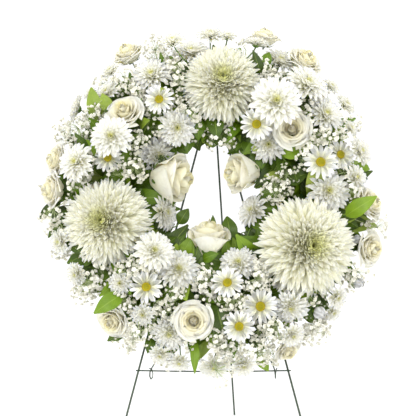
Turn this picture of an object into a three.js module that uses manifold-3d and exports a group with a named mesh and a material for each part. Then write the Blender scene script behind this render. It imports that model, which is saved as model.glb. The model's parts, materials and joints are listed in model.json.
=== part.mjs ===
// A funeral wreath on a three-legged wire easel.
//
// The wreath is a ring of floral foam in a plastic tray. Chrysanthemums, daisies, roses, leaves and
// baby's breath stand in holes of the foam. The tray leans on the two front legs of the easel and stands
// in two wire hooks, which hang on the brace between those legs. The back leg swings on a cross pin.
//
// Everything is built in the plane of the front legs, x to the right, y to the back and z up along the
// legs, from the centre of the ring. The whole group is then leaned back and set on the floor.

import * as THREE from 'three';
import { mergeVertices } from 'three/addons/utils/BufferGeometryUtils.js';
import Module from 'manifold-3d';

const wasm = await Module();
wasm.setup();

// Driving dimensions of the easel, in millimetres, degrees and plain ratios
const LEAN = 15; // the front legs and the ring lean back by this angle
const LEG_LENGTH = 610; // from the point where the lines of the front legs meet down to the floor
const LEG_SPREAD = 0.256; // each front leg moves sideways by this share of its length
const MEETING = 189; // that point lies this far above the centre of the ring
const EASEL_X = 2; // the easel stands slightly to the right of the ring's centre
const WIRE = 1.6; // radius of the leg wire
const THIN = 1.1; // radius of the wire of the brace and the hooks
const GAP = 0.3; // clearance between pieces that touch
const EYE_PLAY = 0.15; // the back leg's eye is this much wider than its pin and its clearance
const PIN_SPREAD = 8; // half the distance between the front legs at the hinge pin
const LEG_OVER_PIN = 12; // the front legs end this far above the pin
const PIN_HALF = 13; // half length of the pin
const OPEN_ANGLE = 30; // angle between the front legs and the back leg at rest
const BACK_X = 3; // the back leg's eye sits to the right of the easel's centre
const BACK_DRIFT = 0.065; // the back leg moves to the right by this share of its length
const STOP_UP = 9; // height of the stop bar over the pin
const STOP_HALF = 11; // half length of the stop bar
const BRACE_Z = -268; // height of the brace
const BRACE_OVER = 4; // the brace ends this far past each leg
const BRACE_SAG = 1.5; // the brace hangs this much lower in its middle
const HOOK_X = 99; // the hooks hang on the brace at this distance from its middle
const HOOK_ANGLE = 19; // the hooks carry the ring at this angle from its lowest point

// Driving dimensions of the ring
const RING_MID = 160; // middle radius of the foam
const BAND = 66; // width of the foam
const TRAY_WALL = 2;
const TRAY_DEPTH = 18; // depth of the tray
const FOAM_SIDE = 20; // the foam is straight up to this height over the legs, and arched above it
const FOAM_ARCH = 30; // height of the arch
const RING_STEPS = 28;
const FACE_RISE = 15.5; // the middle of the flowers lies this much higher than the ring's centre

// Driving dimensions of the plants
const LEAF = 0.9; // thickness of a leaf
const STEM = 1.9; // radius of a stem's corners in the foam
const TWIG = 0.9; // radius of a branch to one bloom
const LEAST_LEAD = 0.15; // least cosine of the angle that a stem's edge makes with the stem's direction
const HAIR = 0.55; // radius of a branch of baby's breath
const FLORET = 2.6; // radius of a floret of baby's breath
const CLEAR = 0.36; // least distance between plants
const KNOT = 1.5; // half width of the knot that a tuft's twigs grow from
const TUFT = 13; // length of those twigs
const HOLE_SIDES = 4; // the holes in the foam are square
const PEG_IN = 18; // a stem stands this deep in the foam
const PEG_OUT = 5; // and is straight this far out of it
const DOME_TOP = 102; // the blooms over the middle of the band stand this far in front of the legs
const DOME_EDGE = 24; // and those furthest from it this far
const DOME_REACH = 125; // distance from the middle of the band to that edge
const OPEN_MIDDLE = [ // level boxes through the wreath's open middle, heights as seen from the front
  { x: [-15, 11], height: [6, 60] },
  { x: [-34, 24], height: [-32, 8] },
];
const OPEN_FRONT = 125; // those boxes reach this far in front of the legs
const OPEN_BACK = 26; // and this far behind
const TIDY_VOLUME = 0.001;

const DEG = Math.PI / 180;
const leanSin = Math.sin(LEAN * DEG);
const leanCos = Math.cos(LEAN * DEG);
const vec = (x, y, z) => new THREE.Vector3(x, y, z);

let seed = 20;
/** Seeded random number from -1 to 1, so that every build is the same. */
function chance() {
  seed = (seed * 1664525 + 1013904223) % 4294967296;
  return (seed / 4294967296) * 2 - 1;
}

// Solids

/** Six times the volume inside a list of triangles. */
function signedVolume(points, faces) {
  let sum = 0;
  const [a, b, c] = [vec(), vec(), vec()];
  for (let i = 0; i < faces.length; i += 3) {
    a.fromArray(points, faces[i] * 3);
    b.fromArray(points, faces[i + 1] * 3);
    c.fromArray(points, faces[i + 2] * 3);
    sum += a.dot(b.cross(c));
  }
  return sum;
}

/** A closed solid from a three.js geometry, turned to face outward. */
function solidOf(geometry) {
  const bare = geometry.clone();
  bare.deleteAttribute('normal');
  bare.deleteAttribute('uv');
  const joined = mergeVertices(bare, 1e-4);
  const points = Float32Array.from(joined.attributes.position.array);
  const faces = Uint32Array.from(joined.index.array);
  if (signedVolume(points, faces) < 0) {
    for (let i = 0; i < faces.length; i += 3) {
      [faces[i], faces[i + 1]] = [faces[i + 1], faces[i]];
    }
  }
  return new wasm.Manifold(new wasm.Mesh({ numProp: 3, vertProperties: points, triVerts: faces }));
}

/** A three.js geometry with the faces of a solid. */
function geometryOf(solid) {
  const mesh = solid.getMesh();
  const geometry = new THREE.BufferGeometry();
  geometry.setAttribute('position', new THREE.BufferAttribute(Float32Array.from(mesh.vertProperties), 3));
  geometry.setIndex([...mesh.triVerts]);
  geometry.computeVertexNormals();
  return geometry;
}

/** All the solids of a list joined in one. */
function joinAll(list) {
  return list.reduce((sum, next) => sum.add(next));
}

/** A wire or stem with flat ends along a smooth curve through points. */
function tube(points, radius, sides, steps) {
  const curve = points.length === 2
    ? new THREE.LineCurve3(...points)
    : new THREE.CatmullRomCurve3(points, false, 'centripetal');
  const section = new THREE.Shape();
  for (let i = 0; i < sides; i += 1) {
    const angle = (2 * Math.PI * i) / sides;
    const [x, y] = [radius * Math.cos(angle), radius * Math.sin(angle)];
    if (i === 0) section.moveTo(x, y);
    else section.lineTo(x, y);
  }
  const options = { steps, extrudePath: curve, bevelEnabled: false };
  return solidOf(new THREE.ExtrudeGeometry(section, options));
}

/** A closed solid from points and faces. */
function meshSolid(points, faces) {
  const geometry = new THREE.BufferGeometry();
  geometry.setAttribute('position', new THREE.BufferAttribute(Float32Array.from(points.flatMap((p) => (
    p.toArray()))), 3));
  geometry.setIndex(faces.flat());
  return solidOf(geometry);
}

/** The matrix that points a shape's own z axis along a direction, with its origin at a place. */
function pose(place, direction, spin = 0) {
  const turn = new THREE.Quaternion().setFromUnitVectors(vec(0, 0, 1), direction.clone().normalize());
  const own = new THREE.Quaternion().setFromAxisAngle(vec(0, 0, 1), spin);
  return new THREE.Matrix4().compose(place, turn.multiply(own), vec(1, 1, 1));
}

const moved = (shape, matrix) => ({ ...shape, points: shape.points.map((p) => p.clone().applyMatrix4(matrix)) });
const centreOf = (points) => points.reduce((sum, p) => sum.add(p), vec()).divideScalar(points.length);

/** A shape with its mouth shut by one face. */
const shut = ({ points, faces, mouth }) => meshSolid(points, [...faces, mouth.toReversed()]);

/**
 * A three-sided stem that grows on from the mouth of a shape through stations, each a place, a direction
 * and a radius. Its section turns with it from station to station.
 */
function stemRows(shape, stations) {
  let row = shape.mouth.map((i) => shape.points[i]);
  let centre = centreOf(row);
  let normal = vec().crossVectors(row[1].clone().sub(row[0]), row[2].clone().sub(row[0])).normalize();
  if (normal.dot(stations[0].place.clone().sub(centre)) < 0) normal.negate();
  const rows = [row];
  for (const { place, direction, radius } of stations) {
    const turn = new THREE.Quaternion().setFromUnitVectors(normal, direction);
    row = row.map((p) => p.clone().sub(centre).applyQuaternion(turn).setLength(radius).add(place));
    rows.push(row);
    [centre, normal] = [place, direction];
  }
  return rows;
}

/** The faces along rows of three points, and over the last of them. */
function stemFaces(first, rows) {
  const faces = [];
  let before = first;
  for (let k = 1; k < rows; k += 1) {
    const row = [0, 1, 2].map((i) => -3 * (rows - k) + i);
    for (let i = 0; i < 3; i += 1) {
      const j = (i + 1) % 3;
      faces.push([before[j], before[i], row[i]], [before[j], row[i], row[j]]);
    }
    before = row;
  }
  faces.push(before.toReversed());
  return faces;
}

/** A shape and the stem that grows on from its mouth, as one solid. */
function grown(shape, rows) {
  const points = [...shape.points, ...rows.slice(1).flat()];
  const stem = stemFaces(shape.mouth, rows.length);
  const faces = stem.map((face) => face.map((i) => (i < 0 ? points.length + i : i)));
  return meshSolid(points, [...shape.faces, ...faces]);
}

/** Whether a stem folds into itself: one of its edges lies too much along the section at its start or end. */
function folds(rows, directions) {
  return rows.slice(1).some((row, k) => row.some((p, i) => {
    const edge = p.clone().sub(rows[k][i]).normalize();
    return edge.dot(directions[k]) < LEAST_LEAD || edge.dot(directions[k + 1]) < LEAST_LEAD;
  }));
}

/** A stem alone, shut at both ends. */
function stemSolid(rows) {
  return grown({ points: rows[0], faces: [[0, 1, 2]], mouth: [0, 1, 2] }, rows);
}

// Blooms, with their back at the origin and facing +z

/**
 * One bloom as one surface that runs in a zigzag from its back to its eye. The steps of the zigzag are
 * rings of its core, as radius and height, and whorls of petals. A whorl is a wedge between two rings: its
 * outline has a notch between every two petals, and two shoulders or one tip for each petal's end. The
 * surface is open at its mouth, a small triangle in its back, where the stem grows on.
 */
function bloom(petals, size, back, steps, eye) {
  const points = [0, 1, 2].map((i) => vec(
    TWIG * Math.cos((2 * Math.PI * i) / 3), TWIG * Math.sin((2 * Math.PI * i) / 3), back * size));
  const faces = [];
  const pitch = (2 * Math.PI) / petals;
  const put = (angle, radius, height) => {
    points.push(vec(radius * size * Math.cos(angle), radius * size * Math.sin(angle), height * size));
    return points.length - 1;
  };
  const each = (make) => Array.from({ length: petals }, (_, i) => make(i));
  let offset = 0;
  let ring = null;
  let rim = null;
  for (const step of steps) {
    if (step.notch) {
      const { notch, end, blunt = true, width = 0.8 } = step;
      rim = each((i) => {
        const angle = offset + i * pitch;
        const [far, high] = [end[0] * (1 + 0.05 * chance()), end[1] + 0.03 * chance()];
        const middle = angle + pitch / 2;
        const half = blunt ? (width * pitch) / 2 : 0;
        const ends = blunt ? [put(middle - half, far, high), put(middle + half, far, high)]
          : [put(middle, far, high)];
        return [put(angle, ...notch), ...ends];
      });
      rim.forEach((part, i) => {
        const next = rim[(i + 1) % petals];
        const [from, to] = [ring[i], ring[(i + 1) % petals]];
        const last = part[part.length - 1];
        for (let k = 1; k < part.length; k += 1) faces.push([from, part[k], part[k - 1]]);
        faces.push([from, to, last], [to, next[0], last]);
      });
      offset += pitch / 2;
    } else {
      const next = each((i) => put(offset + i * pitch, ...step));
      if (rim) {
        rim.forEach((part, i) => {
          const loop = [...part, rim[(i + 1) % petals][0]];
          for (let k = 1; k < loop.length; k += 1) faces.push([next[i], loop[k - 1], loop[k]]);
          faces.push([next[i], loop[loop.length - 1], next[(i + 1) % petals]]);
        });
      } else if (ring) {
        ring.forEach((from, i) => {
          const k = (i + 1) % petals;
          faces.push([from, ring[k], next[k]], [from, next[k], next[i]]);
        });
      } else {
        next.forEach((from, i) => {
          const corner = Math.floor((3 * i) / petals);
          const after = Math.floor((3 * (i + 1)) / petals) % 3;
          const to = next[(i + 1) % petals];
          faces.push([corner, to, from]);
          if (after !== corner) faces.push([corner, after, to]);
        });
      }
      ring = next;
      rim = null;
    }
  }
  const top = points.push(vec(0, 0, eye * size)) - 1;
  ring.forEach((from, i) => faces.push([from, ring[(i + 1) % petals], top]));
  return { points, faces, mouth: [0, 1, 2] };
}

const footballMum = (r) => bloom(9, r, -0.2, [
  [0.16, -0.16],
  { notch: [0.55, -0.1], end: [0.9, -0.26] },
  [0.22, -0.02],
  { notch: [0.6, 0.08], end: [1, 0.08] },
  [0.22, 0.08],
  { notch: [0.56, 0.27], end: [0.93, 0.42] },
  [0.2, 0.19],
  { notch: [0.44, 0.44], end: [0.72, 0.7] },
  [0.16, 0.3],
  { notch: [0.27, 0.54], end: [0.44, 0.88], blunt: false },
  [0.1, 0.42],
  { notch: [0.12, 0.6], end: [0.2, 0.92], blunt: false },
  [0.05, 0.5],
], 0.52);

const rose = (r) => bloom(5, r, -0.34, [
  [0.2, -0.22],
  { notch: [0.66, 0.12], end: [1, 0.34], width: 0.66 },
  [0.26, 0.06],
  { notch: [0.52, 0.46], end: [0.74, 0.78], width: 0.66 },
  [0.2, 0.26],
  { notch: [0.28, 0.66], end: [0.4, 0.96], blunt: false },
  [0.13, 0.5],
], 0.98);

/** A rose that is seen from its side: longer than wide, its outer petals closed. */
const closedRose = (r) => bloom(5, r, -0.4, [
  [0.34, -0.24],
  { notch: [0.8, 0.36], end: [0.94, 0.96], width: 0.6 },
  [0.3, 0.2],
  { notch: [0.54, 0.82], end: [0.62, 1.34], width: 0.6 },
  [0.22, 0.7],
], 1.5);

const daisy = (r) => bloom(10, r, -0.18, [
  [0.12, -0.14],
  { notch: [0.42, 0.02], end: [1, 0.1], width: 0.64 },
  [0.3, 0.08],
  [0.22, 0.2],
], 0.23);

/** A cushion bloom with two whorls of broad petals round a pointed one. */
const largePom = (r) => bloom(7, r, -0.22, [
  [0.14, -0.16],
  { notch: [0.6, 0.0], end: [1, 0.06] },
  [0.2, 0.05],
  { notch: [0.4, 0.24], end: [0.72, 0.42], blunt: false },
  [0.14, 0.18],
], 0.3);

const smallPom = (r) => bloom(6, r, -0.24, [
  [0.16, -0.18],
  { notch: [0.5, 0.0], end: [1, 0.1], blunt: false },
  [0.2, 0.06],
  { notch: [0.3, 0.3], end: [0.62, 0.5], blunt: false },
  [0.14, 0.2],
], 0.34);

/** A bloom at the edge that shows one whorl only. */
const halfPom = (r) => bloom(7, r, -0.24, [
  [0.16, -0.18],
  { notch: [0.5, 0.05], end: [1, 0.26], blunt: false },
  [0.26, 0.12],
], 0.36);

const LARGE_POM = 23;
const HALF_POM = 16.5;

function pom(r) {
  if (r > LARGE_POM) return largePom(r);
  return r > HALF_POM ? smallPom(r) : halfPom(r);
}

/** A closed bud in its calyx of pointed sepals. */
const bud = (r) => bloom(5, r, -1.1, [
  [0.56, -0.84],
  { notch: [0.86, -0.3], end: [1.04, 0.4], blunt: false },
  [0.56, -0.1],
  [0.66, 0.45],
], 1.1);

/**
 * A leaf along +z from its base, folded a little at its rib and arched towards +x. Its upper and under
 * faces have the same triangles, and its mouth is the end of its stalk.
 */
function leaf(length, width) {
  const bow = (share) => 0.16 * length * Math.sin(Math.PI * share);
  const points = [vec(LEAF / 2, -TWIG, 0), vec(LEAF / 2, TWIG, 0), vec(-LEAF, 0, 0)];
  const faces = [];
  for (const side of [LEAF / 2, -LEAF / 2]) {
    for (const [share, wide] of [[0.3, 0.9], [0.66, 0.8]]) {
      const half = (width * wide) / 2;
      const [rib, edge] = [bow(share) + side, bow(share) + 0.22 * half + side];
      points.push(vec(edge, -half, share * length), vec(rib, 0, share * length), vec(edge, half, share * length));
    }
    points.push(vec(side, 0, length));
  }
  const [l1, m1, r1, l2, m2, r2, tip] = [3, 4, 5, 6, 7, 8, 9];
  const under = 7;
  const upper = [[l1, m2, l2], [l1, m1, m2], [m1, r2, m2], [m1, r1, r2], [l2, m2, tip], [m2, r2, tip]];
  upper.forEach(([a, b, c]) => faces.push([a, b, c], [a + under, c + under, b + under]));
  faces.push([0, m1, l1], [0, 1, m1], [1, r1, m1], [2, l1 + under, m1 + under], [2, m1 + under, r1 + under]);
  for (const [a, b] of [[l1, l2], [l2, tip], [tip, r2], [r2, r1]]) {
    faces.push([a, b, a + under], [b, b + under, a + under]);
  }
  faces.push([0, l1, 2], [l1, l1 + under, 2], [1, 2, r1], [r1, 2, r1 + under]);
  return { points, faces, mouth: [0, 1, 2] };
}

/**
 * A tuft of baby's breath: a knot with eight faces, and a twig with a floret from three of them. Its mouth
 * is a fourth.
 */
function tuftOf(reach) {
  const points = [vec(KNOT, 0, 0), vec(-KNOT, 0, 0), vec(0, KNOT, 0), vec(0, -KNOT, 0), vec(0, 0, KNOT),
    vec(0, 0, -KNOT)];
  const mouth = [4, 3, 1];
  const faces = [[0, 4, 3], [0, 5, 2], [1, 4, 2], [1, 5, 3]];
  for (const root of [[0, 2, 4], [0, 3, 5], [1, 2, 5]]) {
    const middle = root.reduce((sum, i) => sum.add(points[i]), vec()).divideScalar(3);
    const out = middle.clone().normalize();
    const length = reach * (1 + 0.25 * chance());
    const level = (radius, along) => root.map((i) => points.push(points[i].clone().sub(middle)
      .setLength(radius).addScaledVector(out, along)) - 1);
    const rows = [root, level(HAIR, length - FLORET), level(FLORET, length)];
    for (let k = 1; k < rows.length; k += 1) {
      for (let i = 0; i < 3; i += 1) {
        const j = (i + 1) % 3;
        faces.push([rows[k - 1][i], rows[k - 1][j], rows[k][j]], [rows[k - 1][i], rows[k][j], rows[k][i]]);
      }
    }
    const tip = points.push(out.clone().multiplyScalar(length + 0.8 * FLORET)) - 1;
    for (let i = 0; i < 3; i += 1) faces.push([rows[2][i], rows[2][(i + 1) % 3], tip]);
  }
  return { points, faces, mouth };
}

const MAKERS = { mum: footballMum, rose, closedRose, daisy, pom, bud };

// Places

/** A point seen from the front at x and height, at a depth out of the plane of the legs. */
function seen(x, height, out) {
  return vec(x, -out, (height + FACE_RISE - out * leanSin) / leanCos);
}

/** A direction that leans off the wreath's face by an angle, towards a turn in its plane (0 right, 90 up). */
function facing(turn, lean) {
  const [t, l] = [turn * DEG, lean * DEG];
  return vec(Math.sin(l) * Math.cos(t), -Math.cos(l), Math.sin(l) * Math.sin(t));
}

/** Distance of a bloom from the legs, over an arched cushion round the foam. */
function domeOut(radius) {
  const across = Math.min(1, Math.abs(radius - RING_MID) / DOME_REACH);
  return DOME_EDGE + (DOME_TOP - DOME_EDGE) * (1 - across * across);
}

/** A point on the foam's face: the angle round the ring and the angle across its arch, and its normal. */
function foamPoint(angle, across) {
  const [a, c] = [angle * DEG, across * DEG];
  const radius = RING_MID + (BAND / 2) * Math.sin(c);
  const place = vec(radius * Math.cos(a), -(FOAM_SIDE + FOAM_ARCH * Math.cos(c)), radius * Math.sin(a));
  const normal = vec(Math.sin(c) * Math.cos(a), -Math.cos(c), Math.sin(c) * Math.sin(a));
  return { place, normal };
}

// Clearance: each finished solid is kept with its box, and a new one has to stay clear of all others

const taken = [];

function keep(owner, solid, isStem = false) {
  taken.push({ owner, solid, box: solid.boundingBox(), isStem });
}

function boxesMeet(a, b, gap) {
  return [0, 1, 2].every((k) => a.min[k] - gap < b.max[k] && b.min[k] - gap < a.max[k]);
}

/** Whether a solid clears all that is there. The stems of one node may meet each other. */
function isClear(solid, owner, isStem = false) {
  const box = solid.boundingBox();
  return taken.every((other) => (isStem && other.isStem && other.owner === owner)
    || !boxesMeet(box, other.box, CLEAR)
    || solid.minGap(other.solid, 2 * CLEAR) >= CLEAR);
}

// Easel

const meshes = new Map();

function piece(name, solid, material) {
  meshes.set(name, { solid, material });
}

const wirePaint = new THREE.MeshStandardMaterial({ color: 0x2f4a30, roughness: 0.45, metalness: 0.3 });
const foamGreen = new THREE.MeshStandardMaterial({ color: 0x3f6b35, roughness: 1, metalness: 0 });
const trayGreen = new THREE.MeshStandardMaterial({ color: 0x2c5226, roughness: 0.5, metalness: 0 });
const petalWhite = new THREE.MeshStandardMaterial({ color: 0xf4f1dc, roughness: 0.7, metalness: 0 });
const petalCream = new THREE.MeshStandardMaterial({ color: 0xf5ecc8, roughness: 0.65, metalness: 0 });
const mumCream = new THREE.MeshStandardMaterial({ color: 0xf3efcf, roughness: 0.7, metalness: 0 });
const leafGreen = new THREE.MeshStandardMaterial({ color: 0x4f7a14, roughness: 0.4, metalness: 0 });
const gypWhite = new THREE.MeshStandardMaterial({ color: 0xe9ead8, roughness: 0.8, metalness: 0 });

const legHalf = (z) => (MEETING - z) * LEG_SPREAD;
const pinZ = MEETING - PIN_SPREAD / LEG_SPREAD;
const pinY = 2 * WIRE + GAP;
const floorZ = MEETING - LEG_LENGTH;

/** All the space under the floor, in the leaned frame. */
function underFloor() {
  const size = 2000;
  const block = new THREE.BoxGeometry(size, size, size);
  block.translate(0, 0, -size / 2 + floorZ * leanCos);
  return solidOf(block.rotateX(LEAN * DEG));
}
const ground = underFloor();

function frontLeg(side) {
  const top = pinZ + LEG_OVER_PIN;
  const foot = floorZ - 8;
  const ends = [top, foot].map((z) => vec(EASEL_X + side * legHalf(z), 0, z));
  return tube(ends, WIRE, 8, 1).subtract(ground);
}

function hingePin() {
  const ends = [-PIN_HALF, PIN_HALF].map((x) => vec(EASEL_X + x, pinY, pinZ));
  return tube(ends, WIRE, 8, 1);
}

/** The back leg: an eye round the pin, the long leg below it and a stop bar that bears on the front legs. */
function backLeg() {
  const x = EASEL_X + BACK_X;
  const eyeRadius = 2 * WIRE + GAP + EYE_PLAY;
  const eye = solidOf(new THREE.TorusGeometry(eyeRadius, WIRE, 6, 10).rotateY(Math.PI / 2)
    .translate(x, pinY, pinZ));
  const open = OPEN_ANGLE * DEG;
  const down = vec(BACK_DRIFT, Math.sin(open), -Math.cos(open));
  const start = vec(x, pinY, pinZ).addScaledVector(down, eyeRadius);
  const leg = tube([start, start.clone().addScaledVector(down, LEG_LENGTH)], WIRE, 8, 1);
  const neck = tube([vec(x, pinY, pinZ + eyeRadius), vec(x, pinY, pinZ + STOP_UP)], WIRE, 6, 1);
  const bar = tube([-STOP_HALF, STOP_HALF].map((s) => vec(EASEL_X + s, pinY, pinZ + STOP_UP)), WIRE, 6, 1);
  return joinAll([eye, leg, neck, bar]).subtract(ground);
}

const braceY = -(WIRE + GAP + THIN);

function brace() {
  const half = legHalf(BRACE_Z) + BRACE_OVER;
  const route = [-1, -0.5, 0, 0.5, 1].map((share) => (
    vec(EASEL_X + share * half, braceY, BRACE_Z - BRACE_SAG * (1 - share * share))));
  return tube(route, THIN, 5, 4);
}

/**
 * A hook: a long eye that hangs on the brace, an arm that rises to the tray, and a shelf under the tray
 * with an upturned tip in front of its rim.
 */
function hook(side, twist, deep) {
  const shelf = RING_MID + BAND / 2 + TRAY_WALL + 2 * GAP + THIN;
  const a = HOOK_ANGLE * DEG;
  const low = (radius, out) => vec(side * radius * Math.sin(a), -out, -radius * Math.cos(a));
  const eye = [];
  const tall = 8.5;
  for (let i = 0; i <= 8; i += 1) {
    const angle = (100 - 42 * i) * DEG;
    const [across, up] = [deep * Math.cos(angle), tall * Math.sin(angle)];
    eye.push(vec(EASEL_X + side * HOOK_X - side * (across * Math.sin(twist * DEG) + i * 0.5),
      braceY - across * Math.cos(twist * DEG), BRACE_Z - tall + 3.6 + up));
  }
  const arm = [
    vec(EASEL_X + side * (HOOK_X - 10), braceY - 6, BRACE_Z + 16),
    low(shelf + 18, 9),
    low(shelf + 1, 14),
    low(shelf, 24),
    low(shelf - 1, 33),
    low(shelf - 7.5, 37),
  ];
  return tube([...eye, ...arm], THIN, 4, 26);
}

piece('front_leg_left', frontLeg(-1), wirePaint);
piece('front_leg_right', frontLeg(1), wirePaint);
piece('hinge_pin', hingePin(), wirePaint);
piece('back_leg', backLeg(), wirePaint);
piece('cross_brace', brace(), wirePaint);
piece('hook_left', hook(-1, 42, 5.6), wirePaint);
piece('hook_right', hook(1, 14, 4.3), wirePaint);

// Ring

/** A ring round y from radius and distance-out pairs. */
function ring(profile) {
  const closed = [...profile, profile[0]].map(([r, out]) => new THREE.Vector2(r, -out));
  return solidOf(new THREE.LatheGeometry(closed, RING_STEPS));
}

const inner = RING_MID - BAND / 2;
const outer = RING_MID + BAND / 2;
const trayBack = WIRE + GAP + EYE_PLAY;
const trayFloor = trayBack + TRAY_WALL;

function tray() {
  const rim = trayBack + TRAY_DEPTH;
  const [near, far] = [inner - GAP, outer + GAP];
  return ring([
    [near - TRAY_WALL, trayBack], [near - TRAY_WALL, rim], [near, rim], [near, trayFloor],
    [far, trayFloor], [far, rim], [far + TRAY_WALL, rim], [far + TRAY_WALL, trayBack],
  ]);
}

function foam() {
  const arch = [];
  for (let across = -90; across <= 90; across += 36) {
    arch.push([RING_MID + (BAND / 2) * Math.sin(across * DEG), FOAM_SIDE + FOAM_ARCH * Math.cos(across * DEG)]);
  }
  return ring([[outer, trayFloor + GAP], [inner, trayFloor + GAP], ...arch]);
}

piece('ring_tray', tray(), trayGreen);
const foamBlock = foam();
for (const [name, { solid }] of meshes) keep(name, solid);
keep('foam_ring', foamBlock);

const block = (x, y, z) => new THREE.BoxGeometry(x[1] - x[0], y[1] - y[0], z[1] - z[0])
  .translate((x[0] + x[1]) / 2, (y[0] + y[1]) / 2, (z[0] + z[1]) / 2);
for (const { x, height } of OPEN_MIDDLE) {
  const level = block(x, [-OPEN_FRONT, OPEN_BACK], height.map((h) => h + FACE_RISE));
  keep('open middle', solidOf(level.rotateX(LEAN * DEG)));
}
keep('swing of the back leg', solidOf(block([-20, 70], [1, 400], [floorZ, 300])));

// Plants in the foam

const holes = [];

/** A hole in the foam, the straight stem end that stands in it, and that stem's two stations. */
function peg(angle, across) {
  const { place, normal } = foamPoint(angle, across);
  const direction = normal.clone().negate();
  const along = (out) => place.clone().addScaledVector(normal, out);
  const stations = [PEG_OUT, -PEG_IN].map((out) => ({ place: along(out), direction, radius: STEM }));
  const rod = (radius, length, sides) => solidOf(new THREE.CylinderGeometry(radius, radius, length, sides)
    .rotateX(Math.PI / 2)).transform(pose(along((PEG_OUT - PEG_IN) / 2), normal).elements);
  const stem = rod(STEM, PEG_IN + PEG_OUT, 6);
  const hole = rod((STEM + GAP) / Math.cos(Math.PI / HOLE_SIDES), PEG_IN + PEG_OUT + 2, HOLE_SIDES);
  return { stem, hole, top: along(PEG_OUT - 1.5), stations };
}

const RING_TRIES = [0, 3, -3, 6, -6, 9, -9, 13, -13, 17, -17];
const ACROSS_TRIES = [0, 18, -18, 36, -36, 54, -54];

/** The nearest free places in the foam to a wanted angle round the ring and across its arch. */
function freePegs(angle, across, count) {
  const found = [];
  for (const da of RING_TRIES) {
    for (const dc of ACROSS_TRIES) {
      if (Math.abs(across + dc) > 72 || found.length === count) continue;
      const next = peg(angle + da, across + dc);
      const box = next.hole.boundingBox();
      const apart = holes.every((hole) => hole.minGap(next.hole, 4) > 2.5);
      const free = taken.every((other) => other.owner === 'foam_ring' || !boxesMeet(box, other.box, GAP)
        || next.stem.minGap(other.solid, 1) > GAP);
      if (apart && free) found.push(next);
    }
  }
  return found;
}

const ROUTE_TRIES = [[0, 0], [8, 0], [-8, 0], [0, 8], [0, -8], [15, 8], [-15, 8], [15, -8], [-15, -8],
  [0, 16], [24, 0], [-24, 0], [24, -14], [-24, -14], [0, -16]];

/**
 * The rows of a clear stem that grows from the mouth of a shape to a foot. It stays off its own shape too.
 * The first stem of a node goes on into the foam, and the others end in that one.
 */
function branch(name, shape, foot, radius, isFirst) {
  const from = centreOf(shape.mouth.map((i) => shape.points[i]));
  const [a, b, c] = shape.mouth.map((i) => shape.points[i]);
  const direction = vec().crossVectors(c.clone().sub(a), b.clone().sub(a)).normalize();
  const to = isFirst ? foot.stations[0].place : foot.top;
  const span = from.distanceTo(to);
  const start = from.clone().addScaledVector(direction, Math.min(12, span / 3));
  const middle = start.clone().lerp(to, 0.5);
  const side = vec().crossVectors(to.clone().sub(start), vec(0, -1, 0)).normalize();
  const steps = span > 80 ? 4 : 3;
  const own = shut(shape);
  for (const [across, out] of ROUTE_TRIES) {
    const bend = middle.clone().addScaledVector(side, across).add(vec(0, -out, 0));
    const curve = new THREE.CatmullRomCurve3([from, start, bend, to], false, 'centripetal');
    const stations = [];
    for (let k = 1; k <= steps; k += 1) {
      stations.push({ place: curve.getPoint(k / steps), direction: curve.getTangent(k / steps), radius });
    }
    if (isFirst) stations.splice(-1, 1, ...foot.stations);
    const rows = stemRows(shape, stations);
    if (folds(rows, [direction, ...stations.map((station) => station.direction)])) continue;
    if (stemSolid(rows.slice(1)).minGap(own, GAP) < GAP) continue;
    if (isClear(stemSolid(isFirst ? rows.slice(0, -1) : rows), name, true)) return rows;
  }
  return null;
}

const OUT_TRIES = [0, 7, -7, 14, -14, 21, -21, 28, -28, 36];
const SIZE_TRIES = [1.14, 1.04, 0.94, 0.84, 0.74];
const SHIFT_TRIES = [[0, 0], [7, 0], [-7, 0], [0, 7], [0, -7]];
const PEG_TRIES = 3;
const missing = [];

/** The lean and turn of a bloom that has none of its own: outward at the edge, inward at the middle. */
function autoFacing(x, height) {
  const radius = Math.hypot(x, height);
  const outward = (Math.atan2(height, x) / DEG);
  if (radius > RING_MID) return [outward, Math.min(45, (radius - RING_MID) * 0.5)];
  return [outward + 180, Math.min(60, (RING_MID - radius) * 0.45)];
}

/** Puts one bloom on its stem: the first size, shift and depth at which both are clear. */
function placeHead(name, foot, { kind, x, height, radius, turn, lean, out }, isFirst) {
  const [autoTurn, autoLean] = autoFacing(x, height);
  const direction = facing(turn ?? autoTurn, lean ?? autoLean);
  const depth = out ?? domeOut(Math.hypot(x, height));
  for (const size of SIZE_TRIES) {
    const bloomed = MAKERS[kind](radius * size);
    const spin = Math.PI * chance();
    for (const [right, up] of SHIFT_TRIES) {
      for (const step of OUT_TRIES) {
        const face = seen(x + right, height + up, depth + step);
        const base = face.addScaledVector(direction, -0.3 * radius * size);
        const shape = moved(bloomed, pose(base, direction, spin));
        if (!isClear(shut(shape), name)) continue;
        const rows = branch(name, shape, foot, TWIG, isFirst);
        if (rows) return { shape, rows };
      }
    }
  }
  return null;
}

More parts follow.
